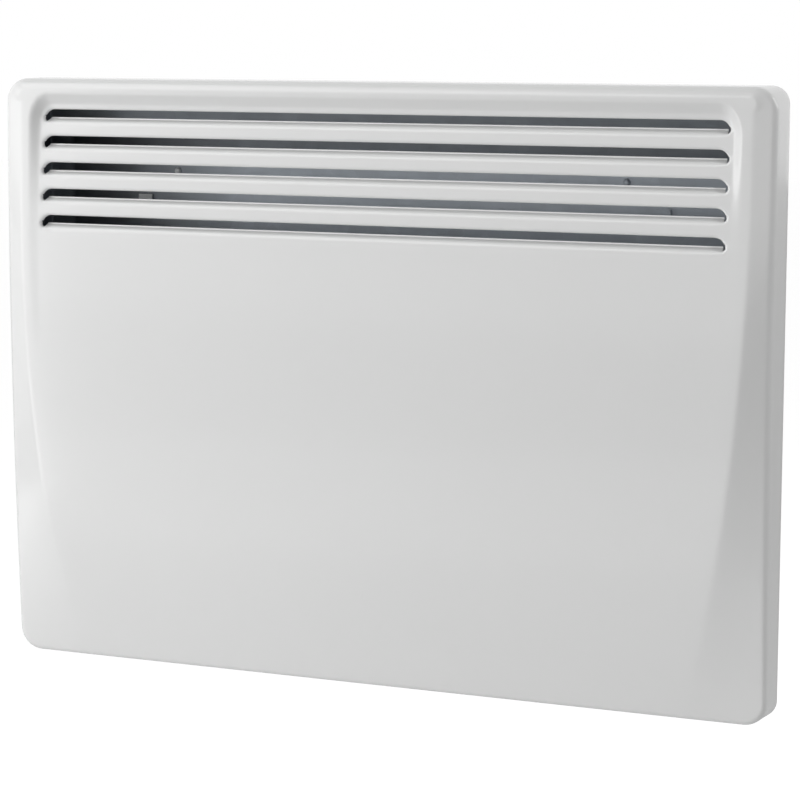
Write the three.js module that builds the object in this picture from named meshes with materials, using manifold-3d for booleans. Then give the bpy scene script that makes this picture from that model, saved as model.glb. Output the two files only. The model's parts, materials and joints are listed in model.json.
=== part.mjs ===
// Wall panel convector heater on its wall bracket, in millimetres, +Z up.
//
// The front faces -Y and the wall is the plane Y = 0. The origin lies on the back face of
// the bracket's rail, at the middle of the heater. The pieces are drawn with heights above
// the heater's bottom edge, and a group lowers them all so that the rail is at Z = 0.
//
// A pressed steel front cover, bowed and louvred, closes over a galvanised casing. The
// casing holds a finned heating element, its heat shield and a control box, and hangs on
// two channel uprights by hooks below and sprung catches above.

import * as THREE from 'three';
import { mergeVertices } from 'three/addons/utils/BufferGeometryUtils.js';
import Module from 'manifold-3d';

const wasm = await Module();
wasm.setup();

// ---------------------------------------------------------------- driving dimensions

const WIDTH = 540;
const HEIGHT = 400;
const HALF_WIDTH = WIDTH / 2;
const RAIL_HEIGHT = 200; // the rail's middle, above the heater's bottom edge

const GAP = 0.3; // clearance between pieces that touch
const SHEET = 1; // steel of cover and casing

// Distances from the wall.
const CASE_BACK = -28;
const COVER_BACK = -42;
const CASE_FRONT = -58;
const CASE_FLOOR = CASE_BACK - SHEET; // the casing's inside back face

// Front cover: outline and edge.
const CORNER_RADIUS = 15.5;
const BACK_CORNER_RADIUS = 11.6;
const EDGE_RADIUS = 3.5;
const FLANGE_WIDTH = 7.5;
const FACE_THICKNESS = 1.2; // measured along Y, so that sloping stretches keep their gauge

// Front cover: depths forward of its back edge, each a shallow arc over the height.
const RIM_DEPTH = 33.4;
const RIM_PEAK_HEIGHT = 242;
const RIM_BOW_RADIUS = 4800;
const PANEL_DEPTH = 41.9;
const PANEL_PEAK_HEIGHT = 197;
const PANEL_BOW_RADIUS = 1370;

// Front cover: the facet from the rim to the ridge, the crest inside it, and the step
// from the crest down to the louvred field.
const CREST_RISE = 3.6;
const CREST_FADE_LOW = 200;
const CREST_FADE_HIGH = 260;
const CREST_BLEND = 1.2;
const CREST_WIDTH = 6;
const TOP_CREST_WIDTH = 4;
const STEP_WIDTH = 7;
const STEP_CORNER_RADIUS = 12;
const SIDE_FACET_WIDTH = 14.2;
const TOP_FACET_WIDTH = 6.5;
const RIDGE_START_HEIGHT = 320; // above this the ridge runs straight up
const RIDGE_SWEEP_RADIUS = 1330; // below it the ridge sweeps inwards on this arc

// Louvres.
const LOUVRE_COUNT = 5;
const LOUVRE_TOP = 379.3;
const LOUVRE_PITCH = 17.85;
const LOUVRE_HEIGHT = 9.3;
const LOUVRE_HALF_LENGTH = 240.4;
const LOUVRE_CORNER_RADIUS = 7;
const LOUVRE_FOOT_RADIUS = 2;
const LIP_RISE = 3;
const LIP_REACH = 8.4;
const LIP_ROOT_INSET = 1.6; // how much shorter than the slot the lip is, at its root
const LIP_TIP_INSET = 2.6;

// Air inlets under the heater.
const INLET_COUNT = 7;
const INLET_PITCH = 55;
const INLET_FIRST = -232;
const INLET_LENGTH = 46;
const INLET_WIDTH = 5;

// Casing.
const CASE_INSET = 8; // inside the cover's outline, all round
const CASE_CORNER_RADIUS = 12;
const CASE_BEND_RADIUS = 2;
const EAR_HEIGHTS = [60, 340];
const CLIP_PLACES = [[-186, 318.5], [186, 318.5]]; // raised wire clips
const STUD_X = 161.2;
const STUD_HEIGHT = 337;
const EARTH_TAB_X = 192;
const EARTH_TAB_HEIGHT = 78;
const COVER_SCREW_X = 265;

// Wall bracket.
const UPRIGHT_X = 150;
const UPRIGHT_WIDTH = 30;
const UPRIGHT_BOTTOM = 30;
const UPRIGHT_TOP = 374;
const BRACKET_SHEET = 1.5;
const RAIL_TALL = 44;
const RAIL_FLANGE = 12;
const HOOK_HEIGHT = 52;
const HOOK_ARM = 4; // the height of the arm that the casing hangs on
const HOOK_RISE = 8;
const HOOK_REACH = 6;
const CATCH_BASE = 350;
const CATCH_TOP = 386;
const CATCH_TRAVEL = 5;
const NOSE_LOW = 364;
const NOSE_HIGH = 367;
const NOSE_TIP = 370.5; // the nose's upturned end, behind the casing's sheet
const SPRING_SHELF = 336;

// Heating element.
const ELEMENT_Y = -50;
const ELEMENT_HEIGHT = 110;
const FIN_HALF_LENGTH = 190;
const ELEMENT_BRACKET_X = 212;
const ELEMENT_BRACKET_SHEET = 1.2;
const ELEMENT_BRACKET_LOW = 82;
const ELEMENT_BRACKET_HIGH = 138;
const ELEMENT_BRACKET_FOOT = 14;
const SHIELD_SEAT = -69.2;
const SHEATH_RADIUS = 4;
const BUSH_RADIUS = 8;

// Controls, under the right-hand end.
const CONTROL_LOW_X = 168;
const CONTROL_HIGH_X = 250;
const CONTROL_Y = -47.5;
const KNOB_X = 225;
const KNOB_RADIUS = 10;
const SWITCH_X = 187.5;
const LAMP_X = 203.5;
const GLAND_X = 228;
const GLAND_HEIGHT = 52;

const WIRE_RADIUS = 1.1;
const WIRE_SPAN_STEPS = 2;

const ROUND = 20; // sides of a small round piece

// ---------------------------------------------------------------- materials

function finish(color, roughness, metalness) {
  return new THREE.MeshStandardMaterial({ color, roughness, metalness });
}

const paintedSteel = finish(0xe9eae9, 0.32, 0);
const galvanised = finish(0x9ba2a9, 0.45, 0.85);
const aluminium = finish(0xc3c7ca, 0.38, 1);
const sheathSteel = finish(0x7d7a76, 0.42, 0.9);
const springSteel = finish(0xa7aaad, 0.3, 1);
const zincScrew = finish(0xb9bcbd, 0.35, 1);
const brass = finish(0xc2a25a, 0.35, 1);
const whitePlastic = finish(0xe3e3df, 0.42, 0);
const greyPlastic = finish(0x54575a, 0.5, 0);
const blackPlastic = finish(0x232425, 0.48, 0);
const amberPlastic = finish(0xd7792a, 0.2, 0);
const silicone = finish(0xa94f3a, 0.65, 0);
const ceramic = finish(0xded8cb, 0.55, 0);
const whiteWire = finish(0xd9d8d2, 0.6, 0);
const greyWire = finish(0x6c6f72, 0.6, 0);
const earthWire = finish(0x9aa33a, 0.6, 0);

// ---------------------------------------------------------------- shape helpers

function boxBetween(low, high) {
  const size = high.map((value, axis) => value - low[axis]);
  const geometry = new THREE.BoxGeometry(...size);
  geometry.translate(...low.map((value, axis) => value + size[axis] / 2));
  return geometry;
}

// A round bar that starts at a point and runs along +X, +Y or +Z.
function rod(axis, radius, start, length, sides = ROUND) {
  const geometry = new THREE.CylinderGeometry(radius, radius, length, sides);
  geometry.translate(0, length / 2, 0);
  if (axis === 'x') geometry.rotateZ(-Math.PI / 2);
  if (axis === 'z') geometry.rotateX(Math.PI / 2);
  geometry.translate(...start);
  return geometry;
}

// A turned piece: the profile is radius against distance along the axis.
function turned(axis, profile, start, sides = ROUND) {
  const points = profile.map(([radius, along]) => new THREE.Vector2(radius, along));
  const geometry = new THREE.LatheGeometry(points, sides);
  if (axis === 'x') geometry.rotateZ(-Math.PI / 2);
  if (axis === 'z') geometry.rotateX(Math.PI / 2);
  geometry.translate(...start);
  return geometry;
}

// An outline drawn square to an axis and extruded along it: (Y, Z) along +X, (X, Z) along
// -Y, or (X, Y) along +Z.
const EXTRUDE_FRAMES = {
  x: [new THREE.Vector3(0, 1, 0), new THREE.Vector3(0, 0, 1), new THREE.Vector3(1, 0, 0)],
  y: [new THREE.Vector3(1, 0, 0), new THREE.Vector3(0, 0, 1), new THREE.Vector3(0, -1, 0)],
  z: [new THREE.Vector3(1, 0, 0), new THREE.Vector3(0, 1, 0), new THREE.Vector3(0, 0, 1)],
};

function extruded(axis, outline, start, length, cornerSteps = 2) {
  const shape = Array.isArray(outline)
    ? new THREE.Shape(outline.map(([a, b]) => new THREE.Vector2(a, b)))
    : outline;
  const geometry = new THREE.ExtrudeGeometry(shape, {
    depth: length,
    bevelEnabled: false,
    curveSegments: cornerSteps / 2,
  });
  geometry.applyMatrix4(new THREE.Matrix4().makeBasis(...EXTRUDE_FRAMES[axis]));
  const place = { x: [start, 0, 0], y: [0, start, 0], z: [0, 0, start] };
  geometry.translate(...place[axis]);
  return geometry;
}

function roundedRectangle(lowX, highX, lowY, highY, radius) {
  const shape = new THREE.Shape();
  const quarter = Math.PI / 2;
  shape.absarc(highX - radius, lowY + radius, radius, -quarter, 0);
  shape.absarc(highX - radius, highY - radius, radius, 0, quarter);
  shape.absarc(lowX + radius, highY - radius, radius, quarter, 2 * quarter);
  shape.absarc(lowX + radius, lowY + radius, radius, 2 * quarter, 3 * quarter);
  shape.closePath();
  return shape;
}

// A smooth curve whose steps are shared evenly among the spans between its points, so that
// a short bend gets as many as a long run.
class RouteCurve extends THREE.CatmullRomCurve3 {
  getUtoTmapping(share) {
    return share;
  }
}

function roundBar(radius, sides, path, steps) {
  const section = new THREE.Shape();
  section.absellipse(0, 0, radius, radius, 0, 2 * Math.PI);
  return new THREE.ExtrudeGeometry(section, {
    steps,
    curveSegments: sides / 2,
    extrudePath: path,
  });
}

function wireAlong(route) {
  const path = new RouteCurve(route.map((point) => new THREE.Vector3(...point)));
  return roundBar(WIRE_RADIUS, 6, path, (route.length - 1) * WIRE_SPAN_STEPS);
}

// ---------------------------------------------------------------- solids

function solidOf(geometry) {
  const bare = geometry.clone();
  bare.deleteAttribute('normal');
  bare.deleteAttribute('uv');
  const merged = mergeVertices(bare, 1e-4);
  return new wasm.Manifold(new wasm.Mesh({
    numProp: 3,
    vertProperties: new Float32Array(merged.attributes.position.array),
    triVerts: new Uint32Array(merged.index.array),
  }));
}

function geometryOf(solid) {
  const mesh = solid.getMesh();
  const geometry = new THREE.BufferGeometry();
  geometry.setAttribute('position', new THREE.BufferAttribute(mesh.vertProperties, 3));
  geometry.setIndex(new THREE.BufferAttribute(mesh.triVerts, 1));
  const facets = geometry.toNonIndexed();
  facets.computeVertexNormals();
  return facets;
}

function join(base, additions) {
  const start = solidOf(base);
  return geometryOf(additions.reduce((solid, part) => solid.add(solidOf(part)), start));
}

function cut(base, cutters) {
  const start = solidOf(base);
  return geometryOf(cutters.reduce((solid, part) => solid.subtract(solidOf(part)), start));
}

// ---------------------------------------------------------------- the assembly

const assembly = new THREE.Group();
const heater = new THREE.Group();
heater.position.z = -RAIL_HEIGHT;
assembly.add(heater);

function addPart(name, geometry, material) {
  const mesh = new THREE.Mesh(geometry, material);
  mesh.name = name;
  heater.add(mesh);
  return mesh;
}

// ---------------------------------------------------------------- rings and shells

// Every ring has the same number of points, so that rings can be skinned one to the next.
// A ring is a rounded rectangle seen from the front, running anticlockwise: up the right
// side from the bottom corner to the top corner, and down the left side.
const CORNER_STEPS = 4;

function cornerArc(centreX, centreZ, radiusX, radiusZ, fromAngle) {
  const points = [];
  for (let step = 0; step <= CORNER_STEPS; step += 1) {
    const angle = fromAngle + (Math.PI / 2) * (step / CORNER_STEPS);
    points.push([centreX + radiusX * Math.cos(angle), centreZ + radiusZ * Math.sin(angle)]);
  }
  return points;
}

// halfWidthAt gives the ring's half width at a height; rows are points between the corners.
function ringOutline({ halfWidthAt, low, high, footRadius, headRadiusX, headRadiusZ, rows }) {
  const foot = low + footRadius;
  const head = high - headRadiusZ;
  const lowerHalf = halfWidthAt(foot);
  const upperHalf = halfWidthAt(head);
  const side = [];
  for (let row = 1; row <= rows; row += 1) {
    const height = foot + (head - foot) * (row / (rows + 1));
    side.push([halfWidthAt(height), height]);
  }
  const right = [
    ...cornerArc(lowerHalf - footRadius, foot, footRadius, footRadius, -Math.PI / 2),
    ...side,
    ...cornerArc(upperHalf - headRadiusX, head, headRadiusX, headRadiusZ, 0),
  ];
  const left = right.map(([x, height]) => [-x, height]).reverse();
  return [...right, ...left];
}

// Skins a list of rings, from the front end to the back end, and closes both ends with
// level strips between each point on the right and its mirror image on the left.
function skinRings(rings) {
  const count = rings[0].length;
  const half = count / 2;
  const positions = rings.flat(2);
  const index = [];
  const quad = (a, b, c, d) => index.push(a, b, c, a, c, d);
  for (let ring = 0; ring < rings.length - 1; ring += 1) {
    const inner = ring * count;
    const outer = inner + count;
    for (let point = 0; point < count; point += 1) {
      const next = (point + 1) % count;
      quad(inner + point, outer + point, outer + next, inner + next);
    }
  }
  const last = (rings.length - 1) * count;
  for (let point = 0; point < half - 1; point += 1) {
    const mirror = count - 1 - point;
    quad(point, point + 1, mirror - 1, mirror);
    quad(last + mirror, last + mirror - 1, last + point + 1, last + point);
  }
  const geometry = new THREE.BufferGeometry();
  geometry.setAttribute('position', new THREE.Float32BufferAttribute(positions, 3));
  geometry.setIndex(index);
  return geometry;
}

// ---------------------------------------------------------------- front cover surface

function smoothStep(low, high, value) {
  const share = Math.min(1, Math.max(0, (value - low) / (high - low)));
  return share * share * (3 - 2 * share);
}

function smoothMaximum(a, b, blend) {
  return (a + b + Math.sqrt((a - b) ** 2 + blend ** 2)) / 2;
}

function arcDepth(peak, peakHeight, radius, height) {
  return peak - (height - peakHeight) ** 2 / (2 * radius);
}

function rimDepth(height) {
  return arcDepth(RIM_DEPTH, RIM_PEAK_HEIGHT, RIM_BOW_RADIUS, height);
}

function panelDepth(height) {
  return arcDepth(PANEL_DEPTH, PANEL_PEAK_HEIGHT, PANEL_BOW_RADIUS, height);
}

// The ridge is the louvred field's crest at the top and the panel's own edge lower down.
function ridgeDepth(height) {
  const fade = smoothStep(CREST_FADE_LOW, CREST_FADE_HIGH, height);
  if (fade === 0) return panelDepth(height);
  const crest = rimDepth(height) + CREST_RISE;
  const high = smoothMaximum(panelDepth(height), crest, CREST_BLEND);
  return panelDepth(height) + (high - panelDepth(height)) * fade;
}

function ridgeInset(height) {
  const below = Math.max(0, RIDGE_START_HEIGHT - height);
  return SIDE_FACET_WIDTH + below ** 2 / (2 * RIDGE_SWEEP_RADIUS);
}

// How far a point lies across the facet, from 0 at the rim to 1 at the ridge.
function facetShare(x, height) {
  const fromSide = HALF_WIDTH - Math.abs(x);
  const fromTop = HEIGHT - height;
  if (fromTop >= CORNER_RADIUS) return Math.min(1, fromSide / ridgeInset(height));
  if (fromSide >= CORNER_RADIUS) return Math.min(1, fromTop / TOP_FACET_WIDTH);
  const acrossX = CORNER_RADIUS - fromSide;
  const acrossZ = CORNER_RADIUS - fromTop;
  const radial = Math.hypot(acrossX, acrossZ);
  const sideways = (acrossX / radial) ** 2;
  const width = TOP_FACET_WIDTH + (SIDE_FACET_WIDTH - TOP_FACET_WIDTH) * sideways;
  return Math.min(1, (CORNER_RADIUS - radial) / width);
}

// How far down the step a point lies, from 0 on the crest to 1 on the field inside it.
function stepShare(x, height) {
  const middle = ridgeInset(height) + CREST_WIDTH + STEP_WIDTH / 2;
  const topMiddle = TOP_FACET_WIDTH + TOP_CREST_WIDTH + STEP_WIDTH / 2;
  const fromSide = HALF_WIDTH - middle - Math.abs(x);
  const fromTop = HEIGHT - topMiddle - height;
  const inCorner = fromSide < STEP_CORNER_RADIUS && fromTop < STEP_CORNER_RADIUS;
  const inside = inCorner
    ? STEP_CORNER_RADIUS - Math.hypot(STEP_CORNER_RADIUS - fromSide, STEP_CORNER_RADIUS - fromTop)
    : Math.min(fromSide, fromTop);
  return smoothStep(-STEP_WIDTH / 2, STEP_WIDTH / 2, inside);
}

function faceDepth(x, height) {
  const ridge = ridgeDepth(height);
  const facet = facetShare(x, height);
  if (facet < 1) return rimDepth(height) + (ridge - rimDepth(height)) * facet;
  return ridge + (panelDepth(height) - ridge) * stepShare(x, height);
}

// ---------------------------------------------------------------- front cover

const COVER_ROWS = 10;

function coverRing(shape, depthAt) {
  return ringOutline({ rows: COVER_ROWS, ...shape })
    .map(([x, height]) => [x, COVER_BACK - depthAt(x, height), height]);
}

// A ring that keeps one distance from the cover's outline.
function rimRing(inset, depthAt, cornerRadius = CORNER_RADIUS) {
  const radius = cornerRadius - inset;
  return coverRing({
    halfWidthAt: () => HALF_WIDTH - inset,
    low: inset,
    high: HEIGHT - inset,
    footRadius: radius,
    headRadiusX: radius,
    headRadiusZ: radius,
  }, depthAt);
}

// A ring that follows the ridge down the sides, a given distance inside it.
function ridgeRing({ sideOffset, topInset, footInset, headRadiusX, headRadiusZ }, depthAt) {
  return coverRing({
    halfWidthAt: (height) => HALF_WIDTH - ridgeInset(height) - sideOffset,
    low: footInset,
    high: HEIGHT - topInset,
    footRadius: 3,
    headRadiusX,
    headRadiusZ,
  }, depthAt);
}

// The ridge, the crest's inner edge and three rings down the step, outermost first.
function faceRings(depthAt) {
  const ridge = {
    sideOffset: 0,
    topInset: TOP_FACET_WIDTH,
    footInset: EDGE_RADIUS + 1.5,
    headRadiusX: CORNER_RADIUS - SIDE_FACET_WIDTH,
    headRadiusZ: CORNER_RADIUS - TOP_FACET_WIDTH,
  };
  const rings = [ridgeRing(ridge, depthAt)];
  const stepRings = 3;
  for (let ring = 0; ring <= stepRings; ring += 1) {
    const down = STEP_WIDTH * (ring / stepRings);
    const radius = STEP_CORNER_RADIUS + STEP_WIDTH / 2 - down;
    rings.push(ridgeRing({
      sideOffset: CREST_WIDTH + down,
      topInset: TOP_FACET_WIDTH + TOP_CREST_WIDTH + down,
      footInset: ridge.footInset + 1.5 + 1.3 * ring,
      headRadiusX: radius,
      headRadiusZ: radius,
    }, depthAt));
  }
  return rings;
}

// The rounded front edge, from the face round to the side wall.
function edgeRings(radius, inset, depthAt) {
  const turns = 3;
  const rings = [];
  for (let turn = turns; turn >= 0; turn -= 1) {
    const angle = (Math.PI / 2) * (turn / turns);
    const back = radius * (1 - Math.sin(angle));
    rings.push(rimRing(inset + radius * (1 - Math.cos(angle)),
      (x, height) => depthAt(x, height) - back));
  }
  return rings;
}

function coverShell() {
  const innerDepth = (x, height) => faceDepth(x, height) - FACE_THICKNESS;
  return skinRings([
    ...faceRings(faceDepth).reverse(),
    ...edgeRings(EDGE_RADIUS, 0, faceDepth),
    rimRing(0, () => 0, BACK_CORNER_RADIUS),
    rimRing(FLANGE_WIDTH, () => 0, BACK_CORNER_RADIUS),
    rimRing(FLANGE_WIDTH, () => SHEET, BACK_CORNER_RADIUS),
    rimRing(SHEET, () => SHEET, BACK_CORNER_RADIUS),
    ...edgeRings(EDGE_RADIUS - SHEET, SHEET, innerDepth).reverse(),
    ...faceRings(innerDepth),
  ]);
}

function louvreTop(index) {
  return LOUVRE_TOP - index * LOUVRE_PITCH;
}

// A slot with broad upper corners and tight lower ones.
function louvreSlot(index) {
  const high = louvreTop(index);
  const low = high - LOUVRE_HEIGHT;
  const shape = new THREE.Shape();
  const quarter = Math.PI / 2;
  const foot = LOUVRE_HALF_LENGTH - LOUVRE_FOOT_RADIUS;
  const head = LOUVRE_HALF_LENGTH - LOUVRE_CORNER_RADIUS;
  shape.absarc(foot, low + LOUVRE_FOOT_RADIUS, LOUVRE_FOOT_RADIUS, -quarter, 0);
  shape.absarc(head, high - LOUVRE_CORNER_RADIUS, LOUVRE_CORNER_RADIUS, 0, quarter);
  shape.absarc(-head, high - LOUVRE_CORNER_RADIUS, LOUVRE_CORNER_RADIUS, quarter, 2 * quarter);
  shape.absarc(-foot, low + LOUVRE_FOOT_RADIUS, LOUVRE_FOOT_RADIUS, 2 * quarter, 3 * quarter);
  shape.closePath();
  return extruded('y', shape, COVER_BACK - 20, 30, 3);
}

// The slot's lower edge is turned inwards and up, as a plate that narrows to its tip.
function louvreLip(index) {
  const low = louvreTop(index) - LOUVRE_HEIGHT;
  const lean = Math.atan2(LIP_RISE, LIP_REACH);
  const length = Math.hypot(LIP_RISE, LIP_REACH);
  const buried = 1;
  const root = LOUVRE_HALF_LENGTH - LIP_ROOT_INSET;
  const tip = LOUVRE_HALF_LENGTH - LIP_TIP_INSET;
  const outline = [[-root, -buried], [root, -buried], [root, 0], [tip, length], [-tip, length],
    [-root, 0]];
  const plate = extruded('z', outline, 0, SHEET);
  plate.rotateX(lean);
  plate.translate(0, COVER_BACK - panelDepth(low) + FACE_THICKNESS / 2, low - SHEET / 2);
  return plate;
}

function obround(centreX, centreY, length, width) {
  return roundedRectangle(centreX - length / 2, centreX + length / 2,
    centreY - width / 2, centreY + width / 2, width / 2);
}

function inletRow(y, low, thickness) {
  const slots = [];
  for (let slot = 0; slot < INLET_COUNT; slot += 1) {
    const x = INLET_FIRST + INLET_LENGTH / 2 + slot * INLET_PITCH;
    slots.push(extruded('z', obround(x, y, INLET_LENGTH, INLET_WIDTH), low, thickness));
  }
  return slots;
}

function coverScrewPlaces() {
  return EAR_HEIGHTS.flatMap((height) => [[-COVER_SCREW_X, height], [COVER_SCREW_X, height]]);
}

function makeFrontCover() {
  const louvres = Array.from({ length: LOUVRE_COUNT }, (_, index) => index);
  const shell = cut(coverShell(), louvres.map(louvreSlot));
  const louvred = join(shell, louvres.map(louvreLip));
  const screwHoles = coverScrewPlaces()
    .map(([x, height]) => rod('y', 1.8, [x, COVER_BACK - 2, height], 4, 10));
  const controlNotch = boxBetween(
    [CONTROL_LOW_X + 4, -62, -2],
    [CONTROL_HIGH_X - 4, COVER_BACK + 1, FLANGE_WIDTH + 1]);
  return cut(louvred, [
    ...screwHoles,
    controlNotch,
    ...inletRow(-49, -1, 3),
    ...inletRow(-58.5, -1, 3),
  ]);
}

addPart('front_cover', makeFrontCover(), paintedSteel);

coverScrewPlaces().forEach(([x, height], index) => {
  addPart(`cover_screw_${index + 1}`,
    makeScrew([x, COVER_BACK + GAP, height], -1, 2.6, 1.3, 4.2), zincScrew);
});

// ---------------------------------------------------------------- rear casing

function caseRing(inset, y) {
  const radius = CASE_CORNER_RADIUS - inset;
  const side = HALF_WIDTH - CASE_INSET - inset;
  return ringOutline({
    halfWidthAt: () => side,
    low: CASE_INSET + inset,
    high: HEIGHT - CASE_INSET - inset,
    footRadius: radius,
    headRadiusX: radius,
    headRadiusZ: radius,
    rows: 0,
  }).map(([x, height]) => [x, y, height]);
}

function caseShell() {
  const bend = CASE_BEND_RADIUS;
  return skinRings([
    caseRing(bend, CASE_FLOOR),
    caseRing(SHEET + 0.3 * (bend - SHEET), CASE_FLOOR - 0.3 * (bend - SHEET)),
    caseRing(SHEET, CASE_FLOOR - bend + SHEET),
    caseRing(SHEET, CASE_FRONT),
    caseRing(0, CASE_FRONT),
    caseRing(0, CASE_BACK - bend),
    caseRing(0.3 * bend, CASE_BACK - 0.3 * bend),
    caseRing(bend, CASE_BACK),
  ]);
}

function bracketSides() {
  return [-1, 1].flatMap((side) => [-1, 1].map((flange) => side * UPRIGHT_X
    + flange * (UPRIGHT_WIDTH / 2 - BRACKET_SHEET / 2)));
}

function backHole(lowX, highX, low, high) {
  return extruded('y', roundedRectangle(lowX, highX, low, high, 1), CASE_BACK + 1, 4);
}

function makeRearCasing() {
  const ears = coverScrewPlaces().map(([x, height]) => {
    const out = Math.sign(x);
    const ends = [out * (HALF_WIDTH - CASE_INSET - 0.5), out * (HALF_WIDTH - 2)];
    return boxBetween([Math.min(...ends), COVER_BACK - SHEET - GAP - 1.2, height - 7],
      [Math.max(...ends), COVER_BACK - SHEET - GAP, height + 7]);
  });
  const earHoles = coverScrewPlaces()
    .map(([x, height]) => rod('y', 1.6, [x, COVER_BACK - 5, height], 5, 10));
  const hookSlots = bracketSides()
    .map((x) => backHole(x - 3, x + 3, HOOK_HEIGHT - HOOK_ARM, HOOK_HEIGHT + HOOK_ARM + GAP));
  const catchSlots = [-UPRIGHT_X, UPRIGHT_X]
    .map((x) => backHole(x - 8, x + 8, NOSE_LOW - CATCH_TRAVEL - GAP, NOSE_HIGH + GAP));
  const rivetHoles = [...elementFixings(-1), ...elementFixings(1)]
    .map(([x, height]) => rod('y', 1.8, [x, CASE_FLOOR - 2, height], 4, 8));
  const clips = CLIP_PLACES.map(([x, height]) => boxBetween(
    [x - 5, CASE_FLOOR - 2, height - 2], [x + 5, CASE_FLOOR + 0.5, height + 2]));
  const earthTab = boxBetween([EARTH_TAB_X - 0.4, CASE_FLOOR - 8, EARTH_TAB_HEIGHT - 3],
    [EARTH_TAB_X + 0.4, CASE_FLOOR + 0.5, EARTH_TAB_HEIGHT + 3]);
  const studs = [-STUD_X, STUD_X].map((x) => turned('y', [
    [0, -2], [1.6, -1.7], [2.4, -0.8], [2.6, 0.5], [0, 0.5],
  ], [x, CASE_FLOOR, STUD_HEIGHT], 10));
  const floorSlots = inletRow(-36, CASE_INSET - 1, 3);
  const frontSlots = inletRow(-50.5, CASE_INSET - 1, 3);
  const controlNotch = boxBetween([CONTROL_LOW_X + 4, CASE_FRONT - 1, CASE_INSET - 1],
    [CONTROL_HIGH_X - 4, -33.5, CASE_INSET + 3]);
  const glandHole = rod('y', 6.3, [GLAND_X, CASE_BACK - 3, GLAND_HEIGHT], 4);
  return cut(join(caseShell(), [...ears, ...clips, earthTab, ...studs]), [
    ...earHoles,
    ...hookSlots,
    ...catchSlots,
    ...rivetHoles,
    ...floorSlots,
    ...frontSlots,
    controlNotch,
    glandHole,
  ]);
}

addPart('rear_casing', makeRearCasing(), galvanised);

// ---------------------------------------------------------------- wall bracket

const RAIL_HALF = UPRIGHT_X - UPRIGHT_WIDTH / 2 - GAP;
const RIVET_Y = -16;

function rivetPlaces() {
  return [-1, 1].flatMap((side) => [-12, 12].map((offset) => [side, RAIL_HEIGHT + offset]));
}

// Each upright is a channel open to the front. Its two flanges carry the lower hooks.
function uprightFlange(x) {
  const front = CASE_BACK + GAP;
  const hookFront = front - HOOK_REACH;
  const hookBack = CASE_BACK - SHEET - 1;
  const outline = [
    [-0.5, UPRIGHT_BOTTOM], [front, UPRIGHT_BOTTOM], [front, HOOK_HEIGHT],
    [hookFront + 1, HOOK_HEIGHT], [hookFront, HOOK_HEIGHT + 1],
    [hookFront, HOOK_HEIGHT + HOOK_RISE], [hookBack, HOOK_HEIGHT + HOOK_RISE],
    [hookBack, HOOK_HEIGHT + HOOK_ARM], [front, HOOK_HEIGHT + HOOK_ARM],
    [front, UPRIGHT_TOP - 6],
    [front + 6, UPRIGHT_TOP], [-0.5, UPRIGHT_TOP],
  ];
  return extruded('x', outline.reverse(), x - BRACKET_SHEET / 2, BRACKET_SHEET);
}

function makeUpright(side) {
  const centre = side * UPRIGHT_X;
  const half = UPRIGHT_WIDTH / 2;
  const web = boxBetween([centre - half, -BRACKET_SHEET, UPRIGHT_BOTTOM],
    [centre + half, 0, UPRIGHT_TOP]);
  const flanges = [-1, 1]
    .map((flange) => uprightFlange(centre + flange * (half - BRACKET_SHEET / 2)));
  const shelf = boxBetween([centre - half + 1, -20, SPRING_SHELF],
    [centre + half - 1, -1, SPRING_SHELF + BRACKET_SHEET]);
  const keepers = [-1, 1].map((flange) => {
    const edges = [centre + flange * (half - 1), centre + flange * (half - 4)];
    return boxBetween([Math.min(...edges), CASE_BACK + GAP, CATCH_BASE - 8],
      [Math.max(...edges), CASE_BACK + GAP + BRACKET_SHEET, UPRIGHT_TOP - 8]);
  });
  const wallHoles = [64, 312].map((height) => extruded('y',
    roundedRectangle(centre - 3, centre + 3, height - 7, height + 7, 3), 1, 4));
  const rivetHoles = rivetPlaces()
    .map(([hand, height]) => rod('x', 2.3, [hand * RAIL_HALF - 3, RIVET_Y, height], 6, 10));
  return cut(join(web, [...flanges, shelf, ...keepers]), [...wallHoles, ...rivetHoles]);
}

addPart('bracket_upright_left', makeUpright(-1), galvanised);
addPart('bracket_upright_right', makeUpright(1), galvanised);

// The rail is a channel between the uprights, with an end tab riveted to each of them.
function makeRail() {
  const low = RAIL_HEIGHT - RAIL_TALL / 2;
  const high = RAIL_HEIGHT + RAIL_TALL / 2;
  const section = [
    [0, low], [0, high], [-RAIL_FLANGE, high], [-RAIL_FLANGE, high - BRACKET_SHEET],
    [-BRACKET_SHEET, high - BRACKET_SHEET], [-BRACKET_SHEET, low + BRACKET_SHEET],
    [-RAIL_FLANGE, low + BRACKET_SHEET], [-RAIL_FLANGE, low],
  ];
  const channel = extruded('x', section, -RAIL_HALF, 2 * RAIL_HALF);
  const tabs = [-1, 1].map((side) => {
    const ends = [side * RAIL_HALF, side * (RAIL_HALF - BRACKET_SHEET)];
    return boxBetween([Math.min(...ends), -22, low + 3], [Math.max(...ends), -1, high - 3]);
  });
  const wallSlots = [-96, -48, 48, 96].map((x) => extruded('y',
    roundedRectangle(x - 9, x + 9, RAIL_HEIGHT - 3, RAIL_HEIGHT + 3, 3), 1, 4));
  const rivetHoles = rivetPlaces()
    .map(([side, height]) => rod('x', 2.3, [side * RAIL_HALF - 3, RIVET_Y, height], 6, 10));
  return cut(join(channel, tabs), [...wallSlots, ...rivetHoles]);
}

addPart('bracket_rail', makeRail(), galvanised);

// A rivet with a domed head at its start and a set end.
function makeRivet(axis, start, length, headRadius, shankRadius) {
  const headHeight = 1;
  return turned(axis, [
    [0, 0], [headRadius * 0.6, 0], [headRadius, headHeight], [shankRadius, headHeight],
    [shankRadius, length - headHeight], [headRadius * 0.8, length - headHeight],
    [shankRadius * 0.8, length], [0, length],
  ], start, 8);
}

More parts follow.
